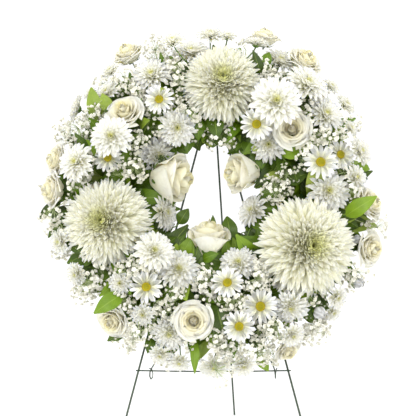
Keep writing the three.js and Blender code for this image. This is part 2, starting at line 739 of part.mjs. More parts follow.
/** A node of one or more parts that share one stem in the foam, where the most of them find a place. */
function plant(name, parts, place, material) {
  const middle = centreOf(parts.map((p) => vec(p.x, 0, p.height)));
  const angle = Math.atan2(middle.z, middle.x) / DEG;
  const across = THREE.MathUtils.clamp((Math.hypot(middle.x, middle.z) - RING_MID) * 0.8, -60, 60);
  const mark = taken.length;
  let best = null;
  for (const foot of freePegs(angle, across, PEG_TRIES)) {
    const lost = [];
    const solids = [];
    for (const part of parts) {
      const placed = place(name, foot, part, solids.length === 0);
      if (placed) {
        keep(name, shut(placed.shape));
        keep(name, stemSolid(placed.rows), true);
        solids.push(grown(placed.shape, placed.rows));
      } else {
        lost.push(part);
      }
    }
    const kept = taken.splice(mark);
    if (!best || lost.length < best.lost.length) best = { foot, solids, lost, kept };
    if (lost.length === 0) break;
  }
  if (!best || best.solids.length === 0) {
    missing.push(`${name} has no place`);
    return;
  }
  missing.push(...best.lost.map((part) => `${name} ${JSON.stringify(part)}`));
  taken.push(...best.kept);
  holes.push(best.foot.hole);
  piece(name, joinAll(best.solids), material);
}

const head = (kind, x, height, radius, extra = {}) => ({ kind, x, height, radius, ...extra });

const MUMS = [
  head('mum', 17, 177, 57, { turn: 90, lean: 8, out: 98 }),
  head('mum', -164, -37, 61, { turn: 190, lean: 12, out: 96 }),
  head('mum', 146, -73, 68, { turn: -20, lean: 14, out: 102 }),
];
MUMS.forEach((part, i) => plant(`mum_${i + 1}`, [part], placeHead, mumCream));

const ROSES = [
  head('rose', -136, 225, 25, { turn: 120, lean: 55 }),
  head('rose', -135, 129, 28, { turn: 120, lean: 25 }),
  head('rose', 84, 251, 24, { turn: 85, lean: 70 }),
  head('rose', 150, 212, 28, { turn: 50, lean: 50 }),
  head('rose', 122, 102, 28, { lean: 6 }),
  head('rose', -243, 54, 26, { turn: 175, lean: 62 }),
  head('rose', -248, 8, 26, { turn: 182, lean: 66 }),
  head('closedRose', -64, 27, 30, { turn: -8, lean: 72, out: 66 }),
  head('closedRose', 46, 33, 25, { turn: 183, lean: 68, out: 64 }),
  head('closedRose', -5, -72, 25, { turn: 88, lean: 66, out: 66 }),
  head('rose', 245, -12, 26, { turn: 20, lean: 55 }),
  head('rose', 245, -82, 26, { turn: -15, lean: 48 }),
  head('rose', -150, -186, 26, { turn: 230, lean: 45 }),
  head('rose', -28, -181, 27, { lean: 6 }),
  head('rose', 115, -233, 20, { turn: -60, lean: 60 }),
];
ROSES.forEach((part, i) => plant(`rose_${i + 1}`, [part], placeHead, petalCream));

const SPRAYS = [
  [head('pom', -96, 192, 32), head('pom', -164, 197, 16), head('pom', -167, 163, 20), head('pom', -195, 160, 12)],
  [head('pom', -220, 136, 22, { turn: 165, lean: 80 }), head('pom', -209, 54, 29), head('daisy', -160, 60, 23)],
  [head('pom', -152, 93, 31), head('daisy', -82, 150, 24), head('pom', -53, 104, 28)],
  [head('pom', -34, 231, 30, { turn: 95, lean: 42 }), head('pom', -62, 243, 20), head('pom', -3, 259, 22),
    head('pom', 25, 253, 15), head('pom', 71, 243, 21, { turn: 80, lean: 75 })],
  [head('pom', 90, 147, 38), head('daisy', 67, 110, 26), head('pom', 87, 79, 28)],
  [head('pom', 112, 217, 27), head('pom', 150, 178, 33), head('pom', 192, 172, 15)],
  [head('pom', 180, 129, 30), head('pom', 215, 143, 18), head('pom', 219, 105, 14)],
  [head('daisy', 167, 54, 28), head('daisy', 203, 65, 25), head('pom', 236, 70, 22)],
  [head('pom', 181, 9, 33), head('pom', 225, 29, 20), head('bud', 223, -67, 9)],
  [head('pom', -81, 59, 31), head('pom', -68, -26, 28, { turn: 0, lean: 60 })],
  [head('pom', 59, -22, 25), head('pom', 39, -96, 27), head('daisy', 22, -122, 25)],
  [head('pom', -236, -70, 20), head('pom', -209, -119, 18), head('pom', -138, -127, 17)],
  [head('pom', -84, -74, 29), head('daisy', -98, -130, 25), head('pom', -57, -105, 31)],
  [head('pom', -104, -174, 17), head('pom', -79, -240, 18), head('pom', -65, -206, 27), head('pom', -50, -251, 17)],
  [head('daisy', 72, -160, 27), head('daisy', 40, -189, 25), head('pom', 2, -259, 22), head('pom', 48, -257, 20)],
  [head('pom', 118, -167, 27, { turn: -90, lean: 40 }), head('pom', 121, -206, 19), head('bud', 163, -175, 13)],
  [head('pom', 191, -153, 18), head('pom', 186, -178, 15), head('bud', 225, -133, 12)],
];
SPRAYS.forEach((parts, i) => plant(`spray_${i + 1}`, parts, placeHead, petalWhite));

// Leaves: base and tip as seen from the front

/** Puts one leaf on its stalk, at the first size, depth and tilt at which both are clear. */
function placeLeaf(name, foot, { x, height, tipX, tipHeight, width }, isFirst) {
  const depth = domeOut(Math.hypot(x, height)) - 22;
  const span = Math.hypot(tipX - x, tipHeight - height);
  for (const size of [1, 0.85, 0.7]) {
    const flat = leaf(span * size, width * size);
    for (const step of [0, 8, -8, 16, -16, 24, 32]) {
      for (const tip of [0.15, -0.2, 0.5]) {
        const along = vec(tipX - x, -tip * span, tipHeight - height).normalize();
        const front = vec(0, -1, 0).addScaledVector(along, along.y).normalize();
        const across = vec().crossVectors(along, front);
        const matrix = new THREE.Matrix4().makeBasis(front, across, along);
        const shape = moved(flat, matrix.setPosition(seen(x, height, depth + step)));
        if (!isClear(shut(shape), name)) continue;
        const rows = branch(name, shape, foot, TWIG, isFirst);
        if (rows) return { shape, rows };
      }
    }
  }
  return null;
}

const blade = (x, height, tipX, tipHeight, width) => ({ x, height, tipX, tipHeight, width });

const FOLIAGE = [
  [blade(-178, 112, -190, 168, 25), blade(-160, 128, -172, 158, 20), blade(-112, 140, -126, 178, 24),
    blade(-206, 74, -232, 96, 16)],
  [blade(-50, 160, -42, 196, 16), blade(78, 180, 62, 226, 18), blade(80, 196, 92, 228, 18)],
  [blade(4, 118, 8, 84, 26), blade(-20, 118, -22, 84, 20), blade(-30, 100, -40, 60, 20)],
  [blade(-142, 42, -126, 72, 18), blade(-238, -12, -273, -38, 18), blade(-214, -20, -256, -66, 20),
    blade(-214, -76, -182, -98, 16)],
  [blade(-110, -34, -68, -36, 30), blade(-52, -46, -30, -12, 30)],
  [blade(30, -74, 22, -22, 30), blade(2, -58, 1, -22, 14), blade(-14, -96, 12, -88, 18),
    blade(62, -50, 92, -34, 18), blade(50, -58, 74, -72, 14)],
  [blade(110, 62, 146, 72, 26), blade(112, 22, 148, 32, 26), blade(205, -30, 254, -2, 26),
    blade(225, 44, 250, 40, 16)],
  [blade(-182, -132, -202, -146, 16), blade(-134, -144, -176, -174, 26), blade(-134, -206, -160, -222, 18),
    blade(-92, -214, -98, -240, 16), blade(-54, -128, -66, -170, 24)],
  [blade(8, -168, 20, -216, 38), blade(-26, -214, -26, -266, 14), blade(70, -244, 86, -268, 18),
    blade(118, -142, 154, -146, 20), blade(140, -184, 168, -186, 20)],
];
FOLIAGE.forEach((parts, i) => plant(`leaves_${i + 1}`, parts, placeLeaf, leafGreen));

// Baby's breath: a branch to each tuft, and florets on twigs round its end

/** Puts one tuft of florets on its stem, at the first size and depth at which both are clear. */
function placeTuft(name, foot, { x, height }, isFirst) {
  const depth = domeOut(Math.hypot(x, height));
  for (const reach of [TUFT, 0.7 * TUFT]) {
    for (const step of [4, -6, 14, -16, 22, 30]) {
      const out = vec(chance(), -1, chance()).normalize();
      const turn = new THREE.Quaternion().setFromUnitVectors(vec(1, 1, -1).normalize(), out);
      const matrix = new THREE.Matrix4().compose(seen(x, height, depth + step), turn, vec(1, 1, 1));
      const shape = moved(tuftOf(reach), matrix);
      if (!isClear(shut(shape), name)) continue;
      const rows = branch(name, shape, foot, HAIR + 0.15, isFirst);
      if (rows) return { shape, rows };
    }
  }
  return null;
}

const tuft = (x, height) => ({ x, height });

const BABYS_BREATH = [
  [tuft(-137, 183), tuft(-90, 226), tuft(-54, 188)],
  [tuft(-34, 124), tuft(13, 90)],
  [tuft(-207, 104), tuft(-118, 43), tuft(-203, 14), tuft(-243, -20)],
  [tuft(-190, -130), tuft(-112, -101), tuft(-108, -196)],
  [tuft(-13, -123), tuft(64, -120), tuft(33, -149)],
  [tuft(67, -230), tuft(5, -255), tuft(95, -194), tuft(158, -208)],
  [tuft(181, 88), tuft(98, 10), tuft(255, -50), tuft(222, -115)],
];
BABYS_BREATH.forEach((parts, i) => plant(`babys_breath_${i + 1}`, parts, placeTuft, gypWhite));

piece('foam_ring', foamBlock.subtract(joinAll(holes)), foamGreen);

// Assembly

if (missing.length > 0) console.error(missing.join('\n'));

const leaned = new THREE.Group();
leaned.rotation.x = -LEAN * DEG;
for (const [name, { solid, material }] of meshes) {
  const bodies = solid.decompose().filter((body) => body.volume() > TIDY_VOLUME);
  bodies.sort((a, b) => b.volume() - a.volume());
  if (bodies.length > 1) console.error(`${name} falls into ${bodies.length} bodies`);
  const mesh = new THREE.Mesh(geometryOf(bodies[0]), material);
  mesh.name = name;
  leaned.add(mesh);
}

const group = new THREE.Group();
group.add(leaned);
group.updateMatrixWorld(true);
const reach = new THREE.Box3().setFromObject(leaned, true);
const centre = reach.getCenter(vec());
leaned.position.set(-centre.x, -centre.y, -reach.min.z);

export default group;
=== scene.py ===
"""Funeral wreath on a wire easel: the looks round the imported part.

Every bloom, leaf and tuft of the part is built again with its real petals, at the place that the part's
own vertices give it. The tables repeat those of the part's source: positions as seen from the front, in
millimetres from the middle of the wreath.
"""

import json
import math

import bpy
import numpy as np
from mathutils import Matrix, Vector

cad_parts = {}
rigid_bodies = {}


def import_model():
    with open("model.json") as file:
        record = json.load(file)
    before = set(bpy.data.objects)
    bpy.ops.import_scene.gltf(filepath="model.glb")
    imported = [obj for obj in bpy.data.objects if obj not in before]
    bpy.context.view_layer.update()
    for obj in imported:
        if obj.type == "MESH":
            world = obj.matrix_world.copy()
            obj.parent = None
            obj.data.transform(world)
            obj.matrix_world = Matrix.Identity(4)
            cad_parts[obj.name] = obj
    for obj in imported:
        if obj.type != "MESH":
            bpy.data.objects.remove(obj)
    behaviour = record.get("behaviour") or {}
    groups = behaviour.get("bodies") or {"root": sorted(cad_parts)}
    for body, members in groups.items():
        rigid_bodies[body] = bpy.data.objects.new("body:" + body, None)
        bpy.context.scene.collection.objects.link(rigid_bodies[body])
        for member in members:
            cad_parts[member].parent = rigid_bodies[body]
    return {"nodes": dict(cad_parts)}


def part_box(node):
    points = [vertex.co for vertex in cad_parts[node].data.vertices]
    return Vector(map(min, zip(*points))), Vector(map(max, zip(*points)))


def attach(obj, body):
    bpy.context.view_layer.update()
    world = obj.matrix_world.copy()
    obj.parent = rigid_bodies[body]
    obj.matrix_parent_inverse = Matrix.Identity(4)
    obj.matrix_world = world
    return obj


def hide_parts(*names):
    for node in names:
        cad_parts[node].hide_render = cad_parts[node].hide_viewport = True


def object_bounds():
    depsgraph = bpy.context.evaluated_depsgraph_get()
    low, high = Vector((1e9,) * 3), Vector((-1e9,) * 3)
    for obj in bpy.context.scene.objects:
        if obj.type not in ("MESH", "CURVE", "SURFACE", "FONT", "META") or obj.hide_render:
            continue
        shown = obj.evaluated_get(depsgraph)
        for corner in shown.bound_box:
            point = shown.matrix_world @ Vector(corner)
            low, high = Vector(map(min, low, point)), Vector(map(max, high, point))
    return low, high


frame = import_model()
cad_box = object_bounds()

MM = 0.001
FRONT = "frame_and_wreath"
GOLDEN = math.pi * (3 - math.sqrt(5))

# Places, as part.mjs gives them

LEAN = math.radians(15)
FACE_RISE = 15.5
RING_MID = 160
BAND = 66
FOAM_SIDE = 20
FOAM_ARCH = 30
DOME_TOP = 102
DOME_EDGE = 24
DOME_REACH = 125
TRAY_MIDDLE = 11.05  # the middle of the tray lies this far in front of the legs

low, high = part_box("ring_tray")
middle = np.array((low + high) / 2) / MM
leaned_y = np.array([0, math.cos(LEAN), -math.sin(LEAN)])  # towards the back, square to the legs
leaned_z = np.array([0, math.sin(LEAN), math.cos(LEAN)])  # up along the legs
ring_centre = middle + TRAY_MIDDLE * leaned_y


def leaned(x, back, up):
    """A point of the leaned frame, which has its origin at the ring's centre, in the row frame."""
    return ring_centre + np.array([x, 0, 0]) + back * leaned_y + up * leaned_z


def to_leaned(points):
    away = points - ring_centre
    return np.stack([away[:, 0], away @ leaned_y, away @ leaned_z], 1)


def seen(x, height, out):
    """A point seen from the front at x and height, at a depth out of the plane of the legs."""
    return leaned(x, -out, (height + FACE_RISE - out * math.sin(LEAN)) / math.cos(LEAN))


def facing(turn, lean):
    t, a = math.radians(turn), math.radians(lean)
    return (math.sin(a) * math.cos(t) * np.array([1, 0, 0]) - math.cos(a) * leaned_y
            + math.sin(a) * math.sin(t) * leaned_z)


def dome_out(radius):
    across = min(1, abs(radius - RING_MID) / DOME_REACH)
    return DOME_EDGE + (DOME_TOP - DOME_EDGE) * (1 - across * across)


def auto_facing(x, height):
    radius, outward = math.hypot(x, height), math.degrees(math.atan2(height, x))
    if radius > RING_MID:
        return outward, min(45, (radius - RING_MID) * 0.5)
    return outward + 180, min(60, (RING_MID - radius) * 0.45)


def foam_point(angle, across):
    """A point on the foam's face and the normal there, for an angle round the ring and one across it."""
    radius = RING_MID + BAND / 2 * math.sin(across)
    place = leaned(radius * math.cos(angle), -(FOAM_SIDE + FOAM_ARCH * math.cos(across)),
                   radius * math.sin(angle))
    normal = (math.sin(across) * math.cos(angle) * np.array([1, 0, 0]) - math.cos(across) * leaned_y
              + math.sin(across) * math.sin(angle) * leaned_z)
    return place, normal


SIZE_TRIES = (1.14, 1.04, 0.94, 0.84, 0.74)
SHIFT_TRIES = ((0, 0), (7, 0), (-7, 0), (0, 7), (0, -7))
OUT_TRIES = (0, 7, -7, 14, -14, 21, -21, 28, -28, 36)
BLOOM_BACK = 0.3  # a bloom's origin lies this share of its radius behind its face
LARGE_FROM, SMALL_FROM = 23, 16.5  # a pom of a radius above these is large or small, and half a pom if not
LEAF_BACK = 22  # a leaf starts this far behind the dome
LEAF_SIZE_TRIES = (1, 0.85, 0.7)
LEAF_OUT_TRIES = (0, 8, -8, 16, -16, 24, 32)
LEAF_TIP_TRIES = (0.15, -0.2, 0.5)  # how far the tip comes forward, as a share of the leaf's span
LEAF_HALF = 0.45  # half of a leaf's thickness
TUFT_OUT_TRIES = (4, -6, 14, -16, 22, 30)

# The eye and the back of each kind of bloom, as shares of its radius in front of its origin
EYES = {"mum": 0.52, "rose": 0.98, "closed_rose": 1.5, "daisy": 0.23, "bud": 1.1,
        "large_pom": 0.3, "small_pom": 0.34, "half_pom": 0.36}
BACKS = {"mum": -0.2, "rose": -0.34, "closed_rose": -0.4, "daisy": -0.18, "bud": -1.1,
         "large_pom": -0.22, "small_pom": -0.24, "half_pom": -0.24}
SAME = 0.08  # a vertex this near to a reckoned point is that point


def kind_of(kind, radius):
    if kind != "pom":
        return kind
    return "large_pom" if radius > LARGE_FROM else "small_pom" if radius > SMALL_FROM else "half_pom"


def node_points(node):
    mesh = frame["nodes"][node].data
    points = np.empty(len(mesh.vertices) * 3)
    mesh.vertices.foreach_get("co", points)
    return points.reshape(-1, 3) / MM


def nearest(points, place):
    return np.linalg.norm(points - place, axis=1).min()


def bloom_spot(points, kind, x, height, radius, turn=None, lean=None, out=None):
    """Where the part holds a bloom: its kind, origin, direction and radius, found by its eye vertex."""
    auto_turn, auto_lean = auto_facing(x, height)
    direction = facing(auto_turn if turn is None else turn, auto_lean if lean is None else lean)
    depth = dome_out(math.hypot(x, height)) if out is None else out
    best = (math.inf, None)
    for size in SIZE_TRIES:
        own = kind_of(kind, radius * size)
        for right, up in SHIFT_TRIES:
            for step in OUT_TRIES:
                origin = seen(x + right, height + up, depth + step) - BLOOM_BACK * radius * size * direction
                miss = nearest(points, origin + EYES[own] * radius * size * direction)
                if miss < best[0]:
                    best = (miss, (own, origin, direction, radius * size))
                if miss < SAME:
                    return best[1]
    return best[1]


def leaf_spot(points, x, height, tip_x, tip_height, width):
    """Where the part holds a leaf: its base, its front, across and along axes, its length and width."""
    depth = dome_out(math.hypot(x, height)) - LEAF_BACK
    span = math.hypot(tip_x - x, tip_height - height)
    sideways, upward, toward = (tip_x - x) * np.array([1, 0, 0]), (tip_height - height) * leaned_z, -leaned_y
    best = (math.inf, None)
    for size in LEAF_SIZE_TRIES:
        for step in LEAF_OUT_TRIES:
            base = seen(x, height, depth + step)
            for tip in LEAF_TIP_TRIES:
                along = sideways + tip * span * toward + upward
                along /= np.linalg.norm(along)
                front = toward - along * (along @ toward)
                front /= np.linalg.norm(front)
                across = np.cross(along, front)
                miss = nearest(points, base + along * span * size + front * LEAF_HALF)
                if miss < best[0]:
                    best = (miss, (base, front, across, along, span * size, width * size))
                if miss < SAME:
                    return best[1]
    return best[1]


def tuft_spot(points, x, height):
    """Where the part holds a tuft of baby's breath: the middle of its knot."""
    depth = dome_out(math.hypot(x, height))
    places = [seen(x, height, depth + step) for step in TUFT_OUT_TRIES]
    return min(places, key=lambda place: nearest(points, place))


def foot_of(points):
    """The end of a node's stem, deep in the foam, and the direction in which it leaves the foam."""
    own = to_leaned(points)
    deepest = points[np.argsort(own[:, 1])[-3:]]
    place = deepest.mean(0)
    x, _, up = to_leaned(place[None])[0]
    across = math.asin(max(-0.9, min(0.9, (math.hypot(x, up) - RING_MID) / (BAND / 2))))
    return place, foam_point(math.atan2(up, x), across)[1]


# Mesh building: everything is made of sheets of quads

ASKEW = (0.31, 0.87, 0.38)  # a direction that no stem runs along


class Plant:
    """One piece. Each point has a grain: how far along its petal it is, how far out its whorl, and chance."""

    def __init__(self):
        self.points, self.grain, self.faces, self.slots = [], [], [], []
        self.count = 0

    def sheets(self, grid, slot, whorl=0.0, chance=0.0):
        """Sheets from an array of sheets, rows, columns and coordinates."""
        k, rows, columns, _ = grid.shape
        index = np.arange(rows * columns).reshape(rows, columns)
        quads = np.stack([index[:-1, :-1], index[:-1, 1:], index[1:, 1:], index[1:, :-1]], -1).reshape(-1, 4)
        quads = (quads[None] + (np.arange(k) * rows * columns)[:, None, None]).reshape(-1, 4)
        grain = np.empty(grid.shape)
        grain[..., 0] = np.linspace(0, 1, rows)[None, :, None]
        grain[..., 1] = np.reshape(whorl, (-1, 1, 1))
        grain[..., 2] = np.reshape(chance, (-1, 1, 1)) + 0.5 * np.linspace(-1, 1, columns)[None, None, :] ** 2
        self.faces.append(quads + self.count)
        self.slots.append(np.full(len(quads), slot))
        self.points.append(grid.reshape(-1, 3))
        self.grain.append(grain.reshape(-1, 3))
        self.count += k * rows * columns

    def tube(self, route, radii, slot, sides=6):
        """A round tube along a route of points, closed to a tip at each end."""
        route = np.array(route, float)
        radii = np.broadcast_to(radii, len(route))
        tangent = np.gradient(route, axis=0)
        tangent /= np.linalg.norm(tangent, axis=1)[:, None] + 1e-12
        side = np.cross(tangent, ASKEW)
        side /= np.linalg.norm(side, axis=1)[:, None]
        other = np.cross(tangent, side)
        angle = np.linspace(0, 2 * math.pi, sides + 1)
        ring = (side[:, None] * np.cos(angle)[None, :, None] + other[:, None] * np.sin(angle)[None, :, None])
        rows = route[:, None] + ring * radii[:, None, None]
        ends = [route[:1, None] + 1e-3 * ring[:1], route[-1:, None] + 1e-3 * ring[-1:]]
        self.sheets(np.concatenate([ends[0], rows, ends[1]])[None], slot)

    def build(self, name, materials):
        faces = np.concatenate(self.faces)
        mesh = bpy.data.meshes.new(name)
        mesh.vertices.add(self.count)
        mesh.vertices.foreach_set("co", (np.concatenate(self.points) * MM).ravel())
        mesh.loops.add(faces.size)
        mesh.loops.foreach_set("vertex_index", faces.ravel())
        mesh.polygons.add(len(faces))
        mesh.polygons.foreach_set("loop_start", np.arange(0, faces.size, 4))
        mesh.update(calc_edges=True)
        mesh.polygons.foreach_set("material_index", np.concatenate(self.slots))
        mesh.shade_smooth()
        grain = mesh.attributes.new("grain", "FLOAT_VECTOR", "POINT")
        grain.data.foreach_set("vector", np.concatenate(self.grain).ravel())
        for material in materials:
            mesh.materials.append(material)
        piece = bpy.data.objects.new(name, mesh)
        bpy.context.scene.collection.objects.link(piece)
        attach(piece, FRONT)
        return piece


def turned_to(direction, spin):
    """The three axes, as rows, of a shape whose own z points along a direction."""
    turn = Vector((0, 0, 1)).rotation_difference(Vector(direction)).to_matrix()
    c, s = math.cos(spin), math.sin(spin)
    own = np.array([[c, s, 0], [-s, c, 0], [0, 0, 1]])
    return own @ np.array(turn).T


def column(values):
    """One value a petal, shaped to meet the rows and columns of its points."""
    return np.reshape(values, (-1, 1, 1))


def lathe(profile, count):
    """A profile of radius and height turned once round z, as one sheet of count columns."""
    angle = np.linspace(0, 2 * math.pi, count)
    radius, height = np.array(profile)[:, :1], np.array(profile)[:, 1:]
    return np.stack([radius * np.cos(angle), radius * np.sin(angle), np.repeat(height, count, 1)], -1)[None]


def straps(azimuth, root, tip, lift, half, blunt, rows=7, columns=5, cup=0.5, neck=0.35, sway=0.0):
    """
    Narrow petals round z. Each runs from a root to a tip, both as radius and height, bowed to its upper side
    by lift. Its half width narrows to a neck at the root, and its tip is broader the larger blunt is. Its
    edges rise by cup, and it swings round z by sway.
    """
    s = (np.linspace(0, 1, rows) ** 0.65)[None, :, None]
    t = np.linspace(-1, 1, columns)[None, None, :]
    chord = tip - root
    length = np.linalg.norm(chord, axis=1)
    up = np.stack([-chord[:, 1], chord[:, 0]], 1) / length[:, None]
    bow = column(lift) * 4 * s * (1 - s)
    slope = column(lift) * 4 * (1 - 2 * s)
    run = [column(chord[:, i]) + slope * column(up[:, i]) for i in (0, 1)]
    size = np.sqrt(run[0] ** 2 + run[1] ** 2)
    upper = [-run[1] / size, run[0] / size]
    outline = (neck + (1 - neck) * np.minimum(1, s / 0.55) ** 0.8) * np.sqrt(1 - 0.985 * s ** blunt)
    wide = column(half) * outline
    fold = column(cup) * wide * t ** 2
    radius = column(root[:, 0]) + column(chord[:, 0]) * s + bow * column(up[:, 0]) + fold * upper[0]
    height = column(root[:, 1]) + column(chord[:, 1]) * s + bow * column(up[:, 1]) + fold * upper[1]
    side = wide * t
    angle = column(azimuth) + column(sway) * s ** 2
    return np.stack([radius * np.cos(angle) - side * np.sin(angle),
                     radius * np.sin(angle) + side * np.cos(angle),
                     height + 0 * side], -1)


WRAP_ROWS, WRAP_COLUMNS = 9, 11


def wraps(azimuth, spread, foot, rim, bottom, top, flare, shut):
    """
    Broad petals that wrap round z, one edge inside the next petal. Their rim is rounded and rolls out by
    flare, and shut draws it in.
    """
    s = np.linspace(0, 1, WRAP_ROWS)[None, :, None]
    t = np.linspace(-1, 1, WRAP_COLUMNS)[None, None, :]
    angle = column(azimuth) + column(spread) * t * (0.45 + 0.55 * np.sin(s * math.pi / 2))
    rise = np.sin(s * math.pi / 2) ** 0.85
    radius = column(foot) + (column(rim) - column(foot)) * rise * (1 + 0.1 * t)
    roll = np.clip((s - 0.5) / 0.5, 0, 1) ** 2
    radius = radius + column(flare) * roll * (1 + 0.3 * np.abs(t))
    full = column(top) - column(bottom)
    height = column(bottom) + full * s * (1 - 0.26 * t ** 2 * s) - column(flare) * 0.8 * roll ** 2
    height = height + 0.03 * roll * np.sin(5 * t + 5 * column(azimuth))
    radius = radius * (1 - column(shut) * s ** 3)
    return np.stack([radius * np.cos(angle), radius * np.sin(angle), height], -1)


def placed(grid, size, axes, origin):
    return (grid * size) @ axes + origin


GREEN, PETAL, INNER = 0, 1, 2  # material slots of a piece


def calyx(plant, kind, width, size, axes, origin):
    """The green cup behind a bloom of this kind."""
    back = BACKS[kind]
    profile = [[0.02, back], [0.5 * width, back + 0.02], [width, back + 0.12], [0.7 * width, back + 0.2]]
    plant.sheets(placed(lathe(profile, 13), size, axes, origin), GREEN)


def many_petals(plant, rng, size, axes, origin, count, shape, half, columns=5, blunt=6.0):
    """A double bloom: petals on a spiral, their tips on a dome from its eye out to its lowest whorl."""
    q = (np.arange(count) + 0.5) / count
    reach = np.interp(q, *shape["reach"])
    dip = np.interp(q, *shape["height"])
    jitter = lambda amount: 1 + amount * rng.uniform(-1, 1, count)
    tip = np.stack([reach * jitter(0.05), dip + 0.035 * rng.uniform(-1, 1, count)], 1)
    root = np.stack([0.04 + 0.1 * q, shape["core"] * (1 - q) - 0.12 * q], 1)
    length = np.linalg.norm(tip - root, axis=1)
    grid = straps(np.arange(count) * GOLDEN + 0.05 * rng.uniform(-1, 1, count), root, tip,
                  np.interp(q, [0, 0.35, 1], shape["lift"]) * length * jitter(0.5),
                  half * np.interp(q, [0, 0.25, 0.8], [0.4, 0.85, 1]) * jitter(0.12), blunt,
                  columns=columns, cup=0.75 * jitter(0.3), sway=0.12 * rng.uniform(-1, 1, count))
    plant.sheets(placed(grid, size, axes, origin), PETAL, q, rng.uniform(0, 1, count))


# Double blooms: the radius and height of the tips from the eye to the lowest whorl, then the heart's height
# and how far the petals bow
MUM_SHAPE = {"reach": ([0, 0.06, 0.2, 0.4, 0.62, 0.82, 1], [0.05, 0.13, 0.33, 0.6, 0.86, 1.0, 0.97]),
             "height": ([0, 0.06, 0.2, 0.4, 0.62, 0.82, 1], [0.6, 0.68, 0.74, 0.66, 0.42, 0.12, -0.2]),
             "core": 0.5, "lift": [-0.1, -0.12, 0.08]}
LARGE_SHAPE = {"reach": ([0, 0.12, 0.4, 0.7, 1], [0.04, 0.2, 0.6, 0.92, 1.0]),
               "height": ([0, 0.12, 0.4, 0.7, 1], [0.3, 0.4, 0.42, 0.2, -0.04]),
               "core": 0.2, "lift": [-0.15, -0.05, 0.09]}
SMALL_SHAPE = {"reach": ([0, 0.12, 0.4, 0.7, 1], [0.04, 0.22, 0.56, 0.9, 1.0]),
               "height": ([0, 0.12, 0.4, 0.7, 1], [0.34, 0.46, 0.5, 0.24, 0.02]),
               "core": 0.22, "lift": [-0.15, -0.05, 0.1]}


def mum(plant, rng, size, axes, origin):
    many_petals(plant, rng, size, axes, origin, 620, MUM_SHAPE, half=0.056, columns=4, blunt=7.0)
    calyx(plant, "mum", 0.2, size, axes, origin)


def large_pom(plant, rng, size, axes, origin):
    many_petals(plant, rng, size, axes, origin, 92, LARGE_SHAPE, half=0.108)
    calyx(plant, "large_pom", 0.26, size, axes, origin)


def small_pom(plant, rng, size, axes, origin):
    many_petals(plant, rng, size, axes, origin, 66, SMALL_SHAPE, half=0.125)
    calyx(plant, "small_pom", 0.3, size, axes, origin)


def half_pom(plant, rng, size, axes, origin):
    many_petals(plant, rng, size, axes, origin, 52, SMALL_SHAPE, half=0.14)
    calyx(plant, "half_pom", 0.32, size, axes, origin)


def disc(plant, rng, size, axes, origin):
    """The yellow middle of a daisy: beads on a spiral over a low dome."""
    count, bead, edge, dimple = 110, 0.021, 0.27, 0.08
    q = (np.arange(count) + 0.5) / count
    angle, radius = np.arange(count) * GOLDEN, edge * np.sqrt(q)
    height = EYES["daisy"] - 0.5 * np.maximum(radius - dimple, 0) ** 2 / edge - 0.03 * (radius < dimple)
    s, t = np.linspace(0, 1, 4)[None, :, None], np.linspace(0, 2 * math.pi, 6)[None, None, :]
    spread = bead * np.sin(s * math.pi * 0.98 + 0.02)
    grid = np.stack([column(radius * np.cos(angle)) + spread * np.cos(t),
                     column(radius * np.sin(angle)) + spread * np.sin(t),
                     column(height) - 0.5 * bead + 1.6 * bead * s + 0 * t], -1)
    plant.sheets(placed(grid, size, axes, origin), INNER, q, rng.uniform(0, 1, count))
    dome = lathe([[0.001, 0.21], [0.12, 0.205], [0.22, 0.14], [0.28, 0.06], [0.24, -0.02]], 17)
    plant.sheets(placed(dome, size, axes, origin), INNER, 0.5)


def daisy(plant, rng, size, axes, origin):
    """Two whorls of ray petals round a yellow disc."""
    for count, low, reach in ((17, 0.05, 1.0), (9, 0.02, 0.9)):
        azimuth = 2 * math.pi * (np.arange(count) + 0.16 * rng.uniform(-1, 1, count)) / count + low * 9
        root = np.stack([np.full(count, 0.2), np.full(count, low)], 1)
        tip = np.stack([reach * (1 + 0.05 * rng.uniform(-1, 1, count)),
                        low + 0.05 + 0.05 * rng.uniform(-1, 1, count)], 1)
        grid = straps(azimuth, root, tip, 0.055 + 0.02 * rng.uniform(-1, 1, count),
                      0.115 * (1 + 0.1 * rng.uniform(-1, 1, count)), 7.0, rows=9, cup=0.3,
                      sway=0.05 * rng.uniform(-1, 1, count))
        plant.sheets(placed(grid, size, axes, origin), PETAL, 0.8, rng.uniform(0, 1, count))
    disc(plant, rng, size, axes, origin)
    calyx(plant, "daisy", 0.26, size, axes, origin)


HEART_RADIUS, HEART_SUNK = 0.27, 0.04  # of the coil in a rose, and how far its tip lies below the petals


def rose_petals(plant, rng, size, axes, origin, count, widest, top, bottom, openness):
    """Petals that wrap round a shut heart and open more from whorl to whorl."""
    q = np.arange(count) / (count - 1)
    azimuth = np.arange(count) * GOLDEN + 0.1 * rng.uniform(-1, 1, count)
    rim = np.interp(q, [0, 0.25, 1], [0.1, 0.3 * widest, widest])
    grid = wraps(azimuth, np.radians(np.interp(q, [0, 0.25, 1], [165, 92, 60])), 0.05 + 0.4 * widest * q, rim,
                 np.full(count, bottom), top * (1 - openness * q ** 1.3) + 0.05 * rng.uniform(-1, 1, count),
                 np.interp(q, [0, 0.2, 0.5, 1], [0.02, 0.08, 0.14, 0.2 * openness + 0.1]),
                 np.interp(q, [0, 0.25, 0.5], [0.85, 0.3, 0.0]))
    plant.sheets(placed(grid, size, axes, origin), PETAL, q, rng.uniform(0, 1, count))
    angle, rings = np.linspace(0, 4 * math.pi, 25), np.linspace(0, 1, 8)[:, None]
    coil = HEART_RADIUS * (1 - rings ** 4) * (1 - 0.035 * angle)
    rise = bottom + (top - HEART_SUNK - bottom) * rings + 0 * angle
    heart = np.stack([coil * np.cos(angle), coil * np.sin(angle), rise], -1)
    plant.sheets(placed(heart[None], size, axes, origin), PETAL, 0.1)


